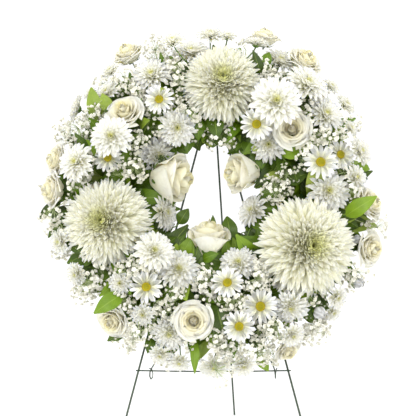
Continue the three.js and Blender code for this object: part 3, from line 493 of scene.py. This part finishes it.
def sepals(plant, rng, size, axes, origin, count, root, tip, half):
    """Green points round a bloom, all alike, from a root to a tip as radius and height."""
    azimuth = 2 * math.pi * np.arange(count) / count
    grid = straps(azimuth, np.tile(root, (count, 1)), np.tile(tip, (count, 1)), np.full(count, -0.1),
                  np.full(count, half), 2.0, cup=0.4, neck=0.8)
    plant.sheets(placed(grid, size, axes, origin), GREEN, 0.5, rng.uniform(0, 1, count))


def rose(plant, rng, size, axes, origin):
    rose_petals(plant, rng, size, axes, origin, 26, widest=0.9, top=1.0, bottom=-0.28, openness=0.56)
    calyx(plant, "rose", 0.26, size, axes, origin)
    sepals(plant, rng, size, axes, origin, 5, root=[0.1, -0.3], tip=[0.75, -0.12], half=0.11)


def closed_rose(plant, rng, size, axes, origin):
    rose_petals(plant, rng, size, axes, origin, 20, widest=1.02, top=1.66, bottom=-0.34, openness=0.34)
    calyx(plant, "closed_rose", 0.3, size, axes, origin)
    sepals(plant, rng, size, axes, origin, 5, root=[0.15, -0.34], tip=[0.85, 0.1], half=0.13)


def bud(plant, rng, size, axes, origin):
    """A bud that just opens: a cone of petals in long sepals."""
    count = 16
    q = np.arange(count) / count
    root = np.stack([np.full(count, 0.3), np.full(count, -0.5)], 1)
    tip = np.stack([0.06 + 0.5 * q, 1.1 - 0.25 * q], 1)
    grid = straps(np.arange(count) * GOLDEN, root, tip, np.full(count, -0.32), np.full(count, 0.3), 4.0)
    plant.sheets(placed(grid, size, axes, origin), PETAL, 0.7, rng.uniform(0, 1, count))
    sepals(plant, rng, size, axes, origin, 7, root=[0.2, -0.95], tip=[0.85, 0.2], half=0.36)
    calyx(plant, "bud", 0.5, size, axes, origin)


FULLNESS = {"daisy": 0.88, "rose": 0.92}  # how much of the solid's radius the petals take, where not all
BLOOMS = {"mum": mum, "rose": rose, "closed_rose": closed_rose, "daisy": daisy, "bud": bud,
          "large_pom": large_pom, "small_pom": small_pom, "half_pom": half_pom}


STEM_POINTS = 9
LEAF_ROWS, LEAF_COLUMNS = 15, 9


def bezier(a, b, c, d):
    u = np.linspace(0, 1, STEM_POINTS)[:, None]
    return (1 - u) ** 3 * a + 3 * u * (1 - u) ** 2 * b + 3 * u * u * (1 - u) * c + u ** 3 * d


def stem(plant, top, direction, foot, radius=1.1):
    """A stem from behind a bloom or leaf, against its direction, into its hole in the foam."""
    place, normal = foot
    span = np.linalg.norm(top - place)
    behind_top, above_foam = top - direction * min(14, span / 3), place + normal * min(24, span * 0.4)
    plant.tube(bezier(top, behind_top, above_foam, place), radius, GREEN)


def leaf(plant, rng, base, front, across, along, length, width):
    """
    A pointed leaf, folded at its rib and arched to its front, with a slightly waved edge. Its grain holds the
    place across it instead of the whorl, and one chance for the whole leaf.
    """
    s, t = np.linspace(0, 1, LEAF_ROWS)[:, None], np.linspace(-1, 1, LEAF_COLUMNS)[None, :]
    half = width / 2 * np.maximum(0.05, np.sin(math.pi * s ** 0.78)) ** 0.8
    wave = 0.035 * width * np.sin(11 * s + 6 * rng.uniform()) * np.abs(t)
    out = 0.16 * length * np.sin(math.pi * s) + 0.22 * half * np.abs(t) ** 1.3 + wave
    grid = (base + along * (s * length)[..., None] + across * (half * t)[..., None] + front * out[..., None])
    plant.sheets(grid[None], PETAL, 0.0, rng.uniform(0, 1))
    plant.grain[-1][:, 1] = np.broadcast_to(t, (LEAF_ROWS, LEAF_COLUMNS)).ravel()
    plant.grain[-1][:, 2] = plant.grain[-1][0, 2] - 0.5


# Materials: a shader whose colour, roughness and relief follow the grain of the piece

class Nodes:
    def __init__(self, name):
        self.material = bpy.data.materials.new(name)
        self.material.use_nodes = True
        self.tree = self.material.node_tree
        self.shader = self.tree.nodes["Principled BSDF"]
        self.links = self.tree.links

    def add(self, kind, inputs=(), **settings):
        node = self.tree.nodes.new(kind)
        for key, value in settings.items():
            setattr(node, key, value)
        for key, value in dict(inputs).items():
            self.feed(node.inputs[key], value)
        return node

    def feed(self, socket, value):
        if isinstance(value, bpy.types.NodeSocket):
            self.links.new(value, socket)
        else:
            socket.default_value = value

    def math(self, operation, *values):
        return self.add("ShaderNodeMath", enumerate(values), operation=operation).outputs[0]

    def grain(self):
        """The three parts of the piece's grain."""
        attribute = self.add("ShaderNodeAttribute", attribute_name="grain")
        return self.add("ShaderNodeSeparateXYZ", {0: attribute.outputs["Vector"]}).outputs

    def ramp(self, factor, *stops):
        node = self.add("ShaderNodeValToRGB", {0: factor})
        elements = node.color_ramp.elements
        while len(elements) < len(stops):
            elements.new(0.5)
        for element, (place, colour) in zip(elements, stops):
            element.position, element.color = place, (*colour, 1)
        return node.outputs[0]

    def mix(self, factor, a, b, blend="MIX"):
        return self.add("ShaderNodeMixRGB", {0: factor, 1: a, 2: b}, blend_type=blend).outputs[0]

    def noise(self, scale, detail, vector):
        inputs = {"Scale": scale, "Detail": detail, "Vector": vector}
        return self.add("ShaderNodeTexNoise", inputs).outputs[0]

    def objects(self):
        return self.add("ShaderNodeTexCoord").outputs["Object"]

    def bump(self, height, strength, distance):
        node = self.add("ShaderNodeBump", {"Height": height, "Strength": strength, "Distance": distance})
        self.links.new(node.outputs[0], self.shader.inputs["Normal"])

    def set(self, **values):
        for key, value in values.items():
            self.feed(self.shader.inputs[key.replace("_", " ")], value)


def rgb(r, g, b):
    """A colour of the photograph's scale, 0 to 255, as linear light."""
    return tuple(((v / 255 + 0.055) / 1.055) ** 2.4 if v > 10 else v / 255 / 12.92 for v in (r, g, b))


def petal_material(name, heart, middle, tip, root, heart_to):
    """
    Petals: the heart of the bloom has one colour, which fades out over the whorls to heart_to. The rest goes
    from the root's colour to the tip's.
    """
    n = Nodes(name)
    along, whorl, chance = n.grain()
    body = n.ramp(along, (0.0, root), (0.45, middle), (0.9, tip))
    tinted = n.mix(n.ramp(whorl, (0.0, (1, 1, 1)), (heart_to, (0, 0, 0))), body, (*heart, 1))
    shade = n.ramp(chance, (0.0, (0.93, 0.93, 0.9)), (1.0, (1, 1, 1)))
    spots = n.ramp(n.noise(260, 2.0, n.objects()), (0.35, (0.96, 0.955, 0.93)), (0.6, (1, 1, 1)))
    colour = n.mix(1.0, n.mix(1.0, tinted, shade, "MULTIPLY"), spots, "MULTIPLY")
    stretched = [n.math("MULTIPLY", part, by) for part, by in ((chance, 26.0), (along, 1.6), (whorl, 40.0))]
    streak = n.add("ShaderNodeCombineXYZ", enumerate(stretched)).outputs[0]
    veins = n.noise(1.6, 2.0, streak)
    n.bump(veins, 0.35, 0.0006)
    n.set(Base_Color=colour, Roughness=n.ramp(veins, (0.3, (0.5,) * 3), (0.7, (0.66,) * 3)),
          Sheen_Weight=0.25, Sheen_Roughness=0.5, Specular_IOR_Level=0.3,
          Subsurface_Weight=0.8, Subsurface_Scale=0.02, Subsurface_Radius=(1.0, 0.95, 0.8))
    return n.material


def leaf_material():
    """Leaves: a green of their own each, with a light rib and slanting side veins."""
    n = Nodes("leaf_green")
    along, across, chance = n.grain()
    side = n.math("ABSOLUTE", across)
    slant = n.math("SUBTRACT", n.math("MULTIPLY", along, 9.0), n.math("MULTIPLY", side, 3.2))
    ripple = n.math("ABSOLUTE", n.math("SINE", n.math("MULTIPLY", slant, math.pi)))
    vein = n.ramp(ripple, (0.0, (1,) * 3), (0.22, (0,) * 3))
    rib = n.ramp(side, (0.0, (1,) * 3), (0.09, (0,) * 3))
    lines = n.math("MAXIMUM", n.math("MULTIPLY", vein, 0.55), rib)
    blade = n.ramp(chance, (0.0, rgb(44, 62, 0)), (0.35, rgb(66, 92, 0)), (0.68, rgb(90, 122, 4)),
                   (0.9, rgb(118, 148, 26)), (1.0, rgb(150, 164, 74)))
    cloud = n.ramp(n.noise(55, 3.0, n.objects()), (0.3, (0.72, 0.76, 0.66)), (0.7, (1.08, 1.06, 1.0)))
    clouded = n.mix(1.0, blade, cloud, "MULTIPLY")
    colour = n.mix(n.math("MULTIPLY", lines, 0.45), clouded, (*rgb(150, 172, 70), 1))
    fine = n.noise(900, 2.0, n.objects())
    n.bump(n.math("ADD", n.math("MULTIPLY", lines, -1.0), n.math("MULTIPLY", fine, 0.25)), 0.5, 0.0005)
    n.set(Base_Color=colour, Roughness=n.ramp(fine, (0.3, (0.4,) * 3), (0.7, (0.52,) * 3)), Coat_Weight=0.08,
          Coat_Roughness=0.3, Specular_IOR_Level=0.35)
    return n.material


def plain_material(name, dark, light, scale, roughness, relief, distance, **more):
    """A material with a clouded colour and a fine relief of one scale."""
    n = Nodes(name)
    where = n.objects()
    cloud = n.noise(scale * 0.2, 3.0, where)
    grit = n.noise(scale, 4.0, where)
    n.bump(grit, relief, distance)
    rough = [(0.3, (roughness - 0.07,) * 3), (0.7, (roughness + 0.07,) * 3)]
    n.set(Base_Color=n.ramp(cloud, (0.35, dark), (0.65, light)), Roughness=n.ramp(grit, *rough), **more)
    return n.material


def disc_material():
    """The beads of a daisy's disc, greener at the middle and each of its own shade."""
    n = Nodes("daisy_disc")
    _, whorl, chance = n.grain()
    colour = n.ramp(whorl, (0.0, rgb(128, 136, 8)), (0.3, rgb(166, 158, 6)), (0.7, rgb(194, 176, 8)),
                    (1.0, rgb(150, 124, 2)))
    shade = n.ramp(chance, (0.0, (0.75,) * 3), (1.0, (1.1,) * 3))
    n.bump(n.noise(1500, 2.0, n.objects()), 0.4, 0.0002)
    n.set(Base_Color=n.mix(1.0, colour, shade, "MULTIPLY"), Roughness=0.75)
    return n.material


mum_petal = petal_material("mum_petals", rgb(249, 250, 164), rgb(255, 253, 214), rgb(255, 254, 242),
                           rgb(255, 250, 160), 0.24)
rose_petal = petal_material("rose_petals", rgb(255, 245, 196), rgb(255, 249, 216), rgb(255, 251, 232),
                            rgb(255, 244, 190), 0.7)
white_petal = petal_material("white_petals", rgb(242, 240, 130), rgb(254, 253, 240), rgb(255, 254, 248),
                             rgb(248, 246, 186), 0.16)
leaf_green = leaf_material()
stem_green = plain_material("stem_green", rgb(58, 88, 14), rgb(104, 134, 46), 600, 0.5, 0.3, 0.0003)
twig_green = plain_material("twig_green", rgb(150, 168, 104), rgb(186, 198, 146), 600, 0.6, 0.2, 0.0002)
daisy_yellow = disc_material()
gyp_white = plain_material("gypsophila", rgb(238, 236, 218), rgb(252, 251, 244), 900, 0.7, 0.4, 0.0003)
wire_green = plain_material("wire_paint", rgb(30, 46, 28), rgb(44, 64, 39), 700, 0.36, 0.25, 0.0002,
                            Coat_Weight=0.3)
foam_green = plain_material("floral_foam", rgb(44, 74, 30), rgb(76, 112, 52), 1400, 0.9, 0.9, 0.0012)
tray_green = plain_material("tray_plastic", rgb(22, 50, 20), rgb(34, 66, 30), 500, 0.42, 0.2, 0.0003)
floor_white = plain_material("floor", rgb(246, 246, 246), rgb(250, 250, 250), 60, 0.8, 0.05, 0.0002)


# Plants of the part

def head(kind, x, height, radius, **more):
    return dict(kind=kind, x=x, height=height, radius=radius, **more)


MUMS = [
    [head("mum", 17, 177, 57, turn=90, lean=8, out=98)],
    [head("mum", -164, -37, 61, turn=190, lean=12, out=96)],
    [head("mum", 146, -73, 68, turn=-20, lean=14, out=102)],
]
ROSES = [
    [head("rose", -136, 225, 25, turn=120, lean=55)],
    [head("rose", -135, 129, 28, turn=120, lean=25)],
    [head("rose", 84, 251, 24, turn=85, lean=70)],
    [head("rose", 150, 212, 28, turn=50, lean=50)],
    [head("rose", 122, 102, 28, lean=6)],
    [head("rose", -243, 54, 26, turn=175, lean=62)],
    [head("rose", -248, 8, 26, turn=182, lean=66)],
    [head("closed_rose", -64, 27, 30, turn=-8, lean=72, out=66)],
    [head("closed_rose", 46, 33, 25, turn=183, lean=68, out=64)],
    [head("closed_rose", -5, -72, 25, turn=88, lean=66, out=66)],
    [head("rose", 245, -12, 26, turn=20, lean=55)],
    [head("rose", 245, -82, 26, turn=-15, lean=48)],
    [head("rose", -150, -186, 26, turn=230, lean=45)],
    [head("rose", -28, -181, 27, lean=6)],
    [head("rose", 115, -233, 20, turn=-60, lean=60)],
]
SPRAYS = [
    [head("pom", -96, 192, 32), head("pom", -164, 197, 16), head("pom", -167, 163, 20),
     head("pom", -195, 160, 12)],
    [head("pom", -220, 136, 22, turn=165, lean=80), head("pom", -209, 54, 29), head("daisy", -160, 60, 23)],
    [head("pom", -152, 93, 31), head("daisy", -82, 150, 24), head("pom", -53, 104, 28)],
    [head("pom", -34, 231, 30, turn=95, lean=42), head("pom", -62, 243, 20), head("pom", -3, 259, 22),
     head("pom", 25, 253, 15), head("pom", 71, 243, 21, turn=80, lean=75)],
    [head("pom", 90, 147, 38), head("daisy", 67, 110, 26), head("pom", 87, 79, 28)],
    [head("pom", 112, 217, 27), head("pom", 150, 178, 33), head("pom", 192, 172, 15)],
    [head("pom", 180, 129, 30), head("pom", 215, 143, 18), head("pom", 219, 105, 14)],
    [head("daisy", 167, 54, 28), head("daisy", 203, 65, 25), head("pom", 236, 70, 22)],
    [head("pom", 181, 9, 33), head("pom", 225, 29, 20), head("bud", 223, -67, 9)],
    [head("pom", -81, 59, 31), head("pom", -68, -26, 28, turn=0, lean=60)],
    [head("pom", 59, -22, 25), head("pom", 39, -96, 27), head("daisy", 22, -122, 25)],
    [head("pom", -236, -70, 20), head("pom", -209, -119, 18), head("pom", -138, -127, 17)],
    [head("pom", -84, -74, 29), head("daisy", -98, -130, 25), head("pom", -57, -105, 31)],
    [head("pom", -104, -174, 17), head("pom", -79, -240, 18), head("pom", -65, -206, 27),
     head("pom", -50, -251, 17)],
    [head("daisy", 72, -160, 27), head("daisy", 40, -189, 25), head("pom", 2, -259, 22),
     head("pom", 48, -257, 20)],
    [head("pom", 118, -167, 27, turn=-90, lean=40), head("pom", 121, -206, 19), head("bud", 163, -175, 13)],
    [head("pom", 191, -153, 18), head("pom", 186, -178, 15), head("bud", 225, -133, 12)],
]
FOLIAGE = [  # base and tip, as x and height, and width
    [(-178, 112, -190, 168, 25), (-160, 128, -172, 158, 20), (-112, 140, -126, 178, 24),
     (-206, 74, -232, 96, 16)],
    [(-50, 160, -42, 196, 16), (78, 180, 62, 226, 18), (80, 196, 92, 228, 18)],
    [(4, 118, 8, 84, 26), (-20, 118, -22, 84, 20), (-30, 100, -40, 60, 20)],
    [(-142, 42, -126, 72, 18), (-238, -12, -273, -38, 18), (-214, -20, -256, -66, 20),
     (-214, -76, -182, -98, 16)],
    [(-110, -34, -68, -36, 30), (-52, -46, -30, -12, 30)],
    [(30, -74, 22, -22, 30), (2, -58, 1, -22, 14), (-14, -96, 12, -88, 18), (62, -50, 92, -34, 18),
     (50, -58, 74, -72, 14)],
    [(110, 62, 146, 72, 26), (112, 22, 148, 32, 26), (205, -30, 254, -2, 26), (225, 44, 250, 40, 16)],
    [(-182, -132, -202, -146, 16), (-134, -144, -176, -174, 26), (-134, -206, -160, -222, 18),
     (-92, -214, -98, -240, 16), (-54, -128, -66, -170, 24)],
    [(8, -168, 20, -216, 38), (-26, -214, -26, -266, 14), (70, -244, 86, -268, 18),
     (118, -142, 154, -146, 20), (140, -184, 168, -186, 20)],
]
BABYS_BREATH = [  # knots, as x and height
    [(-137, 183), (-90, 226), (-54, 188)],
    [(-34, 124), (13, 90)],
    [(-207, 104), (-118, 43), (-203, 14), (-243, -20)],
    [(-190, -130), (-112, -101), (-108, -196)],
    [(-13, -123), (64, -120), (33, -149)],
    [(67, -230), (5, -255), (95, -194), (158, -208)],
    [(181, 88), (98, 10), (255, -50), (222, -115)],
]

FULL_FACES = ("mum", "rose", "closed_rose")
spots = []  # the face of every bloom: its middle's x and height, its radius, and its middle's depth


def finished(piece, node):
    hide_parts(node)


def plant_blooms(group, parts_of_group, petal):
    for number, parts in enumerate(parts_of_group, 1):
        node = f"{group}_{number}"
        rng = np.random.default_rng(number * 31 + len(group))
        points, plant = node_points(node), Plant()
        foot = foot_of(points)
        for part in parts:
            kind, origin, direction, radius = bloom_spot(points, **part)
            axes = turned_to(direction, rng.uniform(0, 6))
            BLOOMS[kind](plant, rng, radius * FULLNESS.get(kind, 1), axes, origin)
            stem(plant, origin + BACKS[kind] * radius * direction, direction, foot)
            centre = origin + (0.7 if kind == "closed_rose" else 0.3) * radius * direction
            covered = 0.95 if kind in FULL_FACES else 0.8
            spots.append((centre[0], centre[2], radius * covered, centre[1]))
        finished(plant.build(f"{node}_petals", [stem_green, petal, daisy_yellow]), node)


plant_blooms("mum", MUMS, mum_petal)
plant_blooms("rose", ROSES, rose_petal)
plant_blooms("spray", SPRAYS, white_petal)

for number, blades in enumerate(FOLIAGE, 1):
    node = f"leaves_{number}"
    rng = np.random.default_rng(number)
    points, plant = node_points(node), Plant()
    foot = foot_of(points)
    for blade in blades:
        base, front, across, along, length, width = leaf_spot(points, *blade)
        leaf(plant, rng, base, front, across, along, length, width)
        stem(plant, base, along, foot, 0.9)
    finished(plant.build(f"{node}_blades", [stem_green, leaf_green]), node)


# Baby's breath: clouds of florets on hair-thin twigs, clear of the blooms' faces and the open middle

LEG_ROOM = 8  # leaves stay this far in front of the plane of the legs
BOX_ROOM = 3  # how far a leaf or floret may stand out of the part's box
OPEN_LOW, OPEN_SPLIT, OPEN_HIGH = -36, 10, 66  # heights of the open middle, which is narrower above the split
UPPER_OPEN, LOWER_OPEN = (-31, 21), (-40, 34)  # its left and right sides above and below the split
allowed_low = np.array(cad_box[0]) / MM - BOX_ROOM
allowed_high = np.array(cad_box[1]) / MM + BOX_ROOM


def in_open(place):
    """Whether a place lies in the open middle of the wreath."""
    x, height = place[0] - ring_centre[0], place[2] - ring_centre[2] - FACE_RISE
    left, right = UPPER_OPEN if height > OPEN_SPLIT else LOWER_OPEN
    return left < x < right and OPEN_LOW < height < OPEN_HIGH


def behind(place):
    """Whether a place lies too near to the plane of the legs or behind it, where the back leg folds in."""
    return (place - ring_centre) @ leaned_y > -LEG_ROOM


def before_bloom(place, depth=0.7):
    """Whether something here would hide a bloom's face, or stand in the bloom to a depth of its radius."""
    return any(math.hypot(place[0] - x, place[2] - height) < radius and place[1] < y + depth * radius
               for x, height, radius, y in spots)


def inside(place, margin=0.0):
    return bool(np.all(place > allowed_low + margin) and np.all(place < allowed_high - margin))


def floret(plant, rng, place, direction, radius):
    """A tiny double bloom: five outer petals and five inner ones."""
    count = 5
    azimuth = 2 * math.pi * np.arange(count) / count
    ones = np.ones(count)
    outer_tip = np.stack([ones, 0.25 * ones + 0.2 * rng.uniform(-1, 1, count)], 1)
    outer = straps(azimuth, np.stack([0.05 * ones, -0.3 * ones], 1), outer_tip, 0.3 * ones, 0.7 * ones,
                   7.0, rows=3, columns=3, cup=0.3)
    inner_tip = np.stack([0.62 * ones, 0.75 * ones], 1)
    inner = straps(azimuth + 0.6, np.stack([0.05 * ones, 0 * ones], 1), inner_tip, 0.3 * ones, 0.5 * ones,
                   7.0, rows=3, columns=2, cup=0.3)
    axes = turned_to(direction, rng.uniform(0, 6))
    for whorl in (outer, inner):
        plant.sheets(placed(whorl, radius, axes, place), PETAL, 0.5, rng.uniform(0, 1, count))


TWIG_RADII = (0.24, 0.18, 0.12)  # at the knot, halfway and at the floret
FLORET_RADII = (2.6, 4.1)  # the least and the most
TUFT_FLORETS, TUFT_SPREAD = 64, 26


def cloud(plant, rng, centre, count, spread):
    """Florets round a knot, most of them in front of it."""
    for _ in range(count):
        out = np.array([rng.normal(), -abs(rng.normal()) * 0.8 + 0.25, rng.normal()])
        out /= np.linalg.norm(out)
        place = centre + out * spread * rng.uniform(0.45, 1.0) * np.array([1, 0.8, 1])
        if in_open(place) or before_bloom(place) or not inside(place, 2):
            continue
        bend = centre + (place - centre) * 0.5 + rng.normal(0, 1.5, 3)
        plant.tube([centre, bend, place], TWIG_RADII, GREEN, 3)
        floret(plant, rng, place, out, rng.uniform(*FLORET_RADII))


for number, tufts in enumerate(BABYS_BREATH, 1):
    node = f"babys_breath_{number}"
    rng = np.random.default_rng(100 + number)
    points, plant = node_points(node), Plant()
    foot = foot_of(points)
    for tuft in tufts:
        knot = tuft_spot(points, *tuft)
        cloud(plant, rng, knot, TUFT_FLORETS, TUFT_SPREAD)
        stem(plant, knot, (knot - foot[0]) / np.linalg.norm(knot - foot[0]), foot, 0.6)
    finished(plant.build(f"{node}_florets", [twig_green, gyp_white]), node)


# Filling that the solids leave out: leaves against the foam, and more baby's breath between the blooms

FOAM_LEAVES, OUTER_LEAVES, INNER_LEAVES = 520, 300, 260  # leaves that are tried, not all of which have room
LEAF_SUNK = 0.1  # how deep in a bloom a leaf may start to show, as a share of the bloom's radius
LEAF_DEPTH, TWIG_DEPTH = 3, 5  # how deep in the foam leaves and twigs start
QUARTERS = 4  # the filling of baby's breath is one piece a quarter of the ring
FILLER_KNOTS, FILLER_FLORETS, FILLER_SPREAD = 330, 26, 19
KNOTS_FROM, KNOTS_REACH = 62, 195  # the knots' least radius round the ring, and how much more the widest has
STEEPEST = 70  # a filling stem leaves the foam at no more than this angle


def filler_leaf(plant, rng, base, along, length, width):
    """A leaf from the foam, if it stays in the part's box and clear of the open middle, blooms and legs."""
    along = along / np.linalg.norm(along)
    front = -leaned_y - along * (along @ -leaned_y)
    front /= np.linalg.norm(front)
    across = np.cross(along, front)
    tested = [base + along * length * share + across * width / 2 * side
              for share in (0.25, 0.5, 0.75, 1.0) for side in (-1, 0, 1)]
    if all(inside(place) and not (in_open(place) or behind(place) or before_bloom(place, LEAF_SUNK))
           for place in tested):
        leaf(plant, rng, base, front, across, along, length, width)


def edge_leaves(plant, rng, count, slants, side, scatter, forward, lengths):
    """Leaves at an edge of the foam, outward where side is 1 and to the open middle where it is -1."""
    for number in range(count):
        angle = number * GOLDEN
        place, _ = foam_point(angle, math.radians(rng.uniform(*slants)))
        away = side * (math.cos(angle) * np.array([1, 0, 0]) + math.sin(angle) * leaned_z)
        along = away + rng.normal(0, scatter, 3) - leaned_y * rng.uniform(*forward)
        filler_leaf(plant, rng, place, along, rng.uniform(*lengths), rng.uniform(22, 34))


rng = np.random.default_rng(5)
plant = Plant()
for number in range(FOAM_LEAVES):
    place, normal = foam_point(number * GOLDEN, math.radians(rng.uniform(-75, 80)))
    along = normal * rng.uniform(0.4, 1.0) + rng.normal(0, 0.6, 3)
    filler_leaf(plant, rng, place - normal * LEAF_DEPTH, along, rng.uniform(44, 78), rng.uniform(24, 38))
edge_leaves(plant, rng, OUTER_LEAVES, (30, 85), 1, scatter=0.4, forward=(0.1, 1.3), lengths=(40, 80))
edge_leaves(plant, rng, INNER_LEAVES, (-88, -50), -1, scatter=0.35, forward=(0.0, 0.7), lengths=(40, 84))
plant.build("filler_leaves", [stem_green, leaf_green])

fillers = [Plant() for _ in range(QUARTERS)]
for number in range(FILLER_KNOTS):
    angle = (number * GOLDEN) % (2 * math.pi)
    radius = KNOTS_FROM + KNOTS_REACH * math.sqrt(rng.uniform(0.05, 1))
    x, height = radius * math.cos(angle), radius * math.sin(angle)
    knot = seen(x, height, dome_out(radius) - rng.uniform(0, 16))
    if in_open(knot) or before_bloom(knot) or not inside(knot, 6):
        continue
    plant = fillers[int(angle / (2 * math.pi) * QUARTERS)]
    cloud(plant, rng, knot, FILLER_FLORETS, FILLER_SPREAD)
    slant = max(-STEEPEST, min(STEEPEST, (radius - RING_MID) * 0.8))
    place, normal = foam_point(angle, math.radians(slant))
    root = (place - normal * TWIG_DEPTH, normal)
    stem(plant, knot, (knot - place) / np.linalg.norm(knot - place), root, 0.5)
for number, plant in enumerate(fillers, 1):
    plant.build(f"filler_florets_{number}", [twig_green, gyp_white])


# Easel, tray and foam keep the part's shapes

WIRES = ["front_leg_left", "front_leg_right", "back_leg", "hinge_pin", "cross_brace", "hook_left",
         "hook_right"]
for material, nodes in [(wire_green, WIRES), (tray_green, ["ring_tray"]), (foam_green, ["foam_ring"])]:
    for node in nodes:
        mesh = frame["nodes"][node].data
        mesh.materials.clear()
        mesh.materials.append(material)


# Floor, light and camera

FLOOR_HALF = 30  # metres
corners = [(x * FLOOR_HALF, y * FLOOR_HALF, 0) for x, y in ((-1, -1), (1, -1), (1, 1), (-1, 1))]
floor_mesh = bpy.data.meshes.new("floor")
floor_mesh.from_pydata(corners, [], [(0, 1, 2, 3)])
floor_mesh.materials.append(floor_white)
floor = bpy.data.objects.new("floor", floor_mesh)
bpy.context.scene.collection.objects.link(floor)


def softbox(name, place, size, power):
    """A round lamp aimed at the wreath, of a size in metres and a power in watts."""
    light = bpy.data.lights.new(name, "AREA")
    light.shape, light.size, light.energy = "DISK", size, power
    lamp = bpy.data.objects.new(name, light)
    lamp.location = place
    lamp.rotation_euler = (Vector(LIGHTS_AIM) - Vector(place)).to_track_quat("-Z", "Y").to_euler()
    bpy.context.scene.collection.objects.link(lamp)


LIGHTS_AIM = (0, -0.05, 0.4)
softbox("key", (-1.1, -2.3, 1.7), size=1.4, power=27)
softbox("fill", (0.7, -2.3, 0.25), size=1.8, power=17)
softbox("top", (0.2, 0.2, 2.6), size=1.6, power=13)

world = bpy.data.worlds.new("studio")
bpy.context.scene.world = world
world.use_nodes = True
background = world.node_tree.nodes["Background"]
background.inputs["Color"].default_value = (1, 1, 1, 1)
background.inputs["Strength"].default_value = 1.16
bpy.context.scene.view_settings.view_transform = "Standard"

CAMERA_AT, CAMERA_AIM, LENS = (-0.005, -1.57, 0.515), (-0.005, -0.07, 0.402), 83.7
camera = bpy.data.objects.new("camera", bpy.data.cameras.new("camera"))
camera.data.lens = LENS
camera.location = CAMERA_AT
camera.rotation_euler = (Vector(CAMERA_AIM) - camera.location).to_track_quat("-Z", "Y").to_euler()
bpy.context.scene.collection.objects.link(camera)
bpy.context.scene.camera = camera
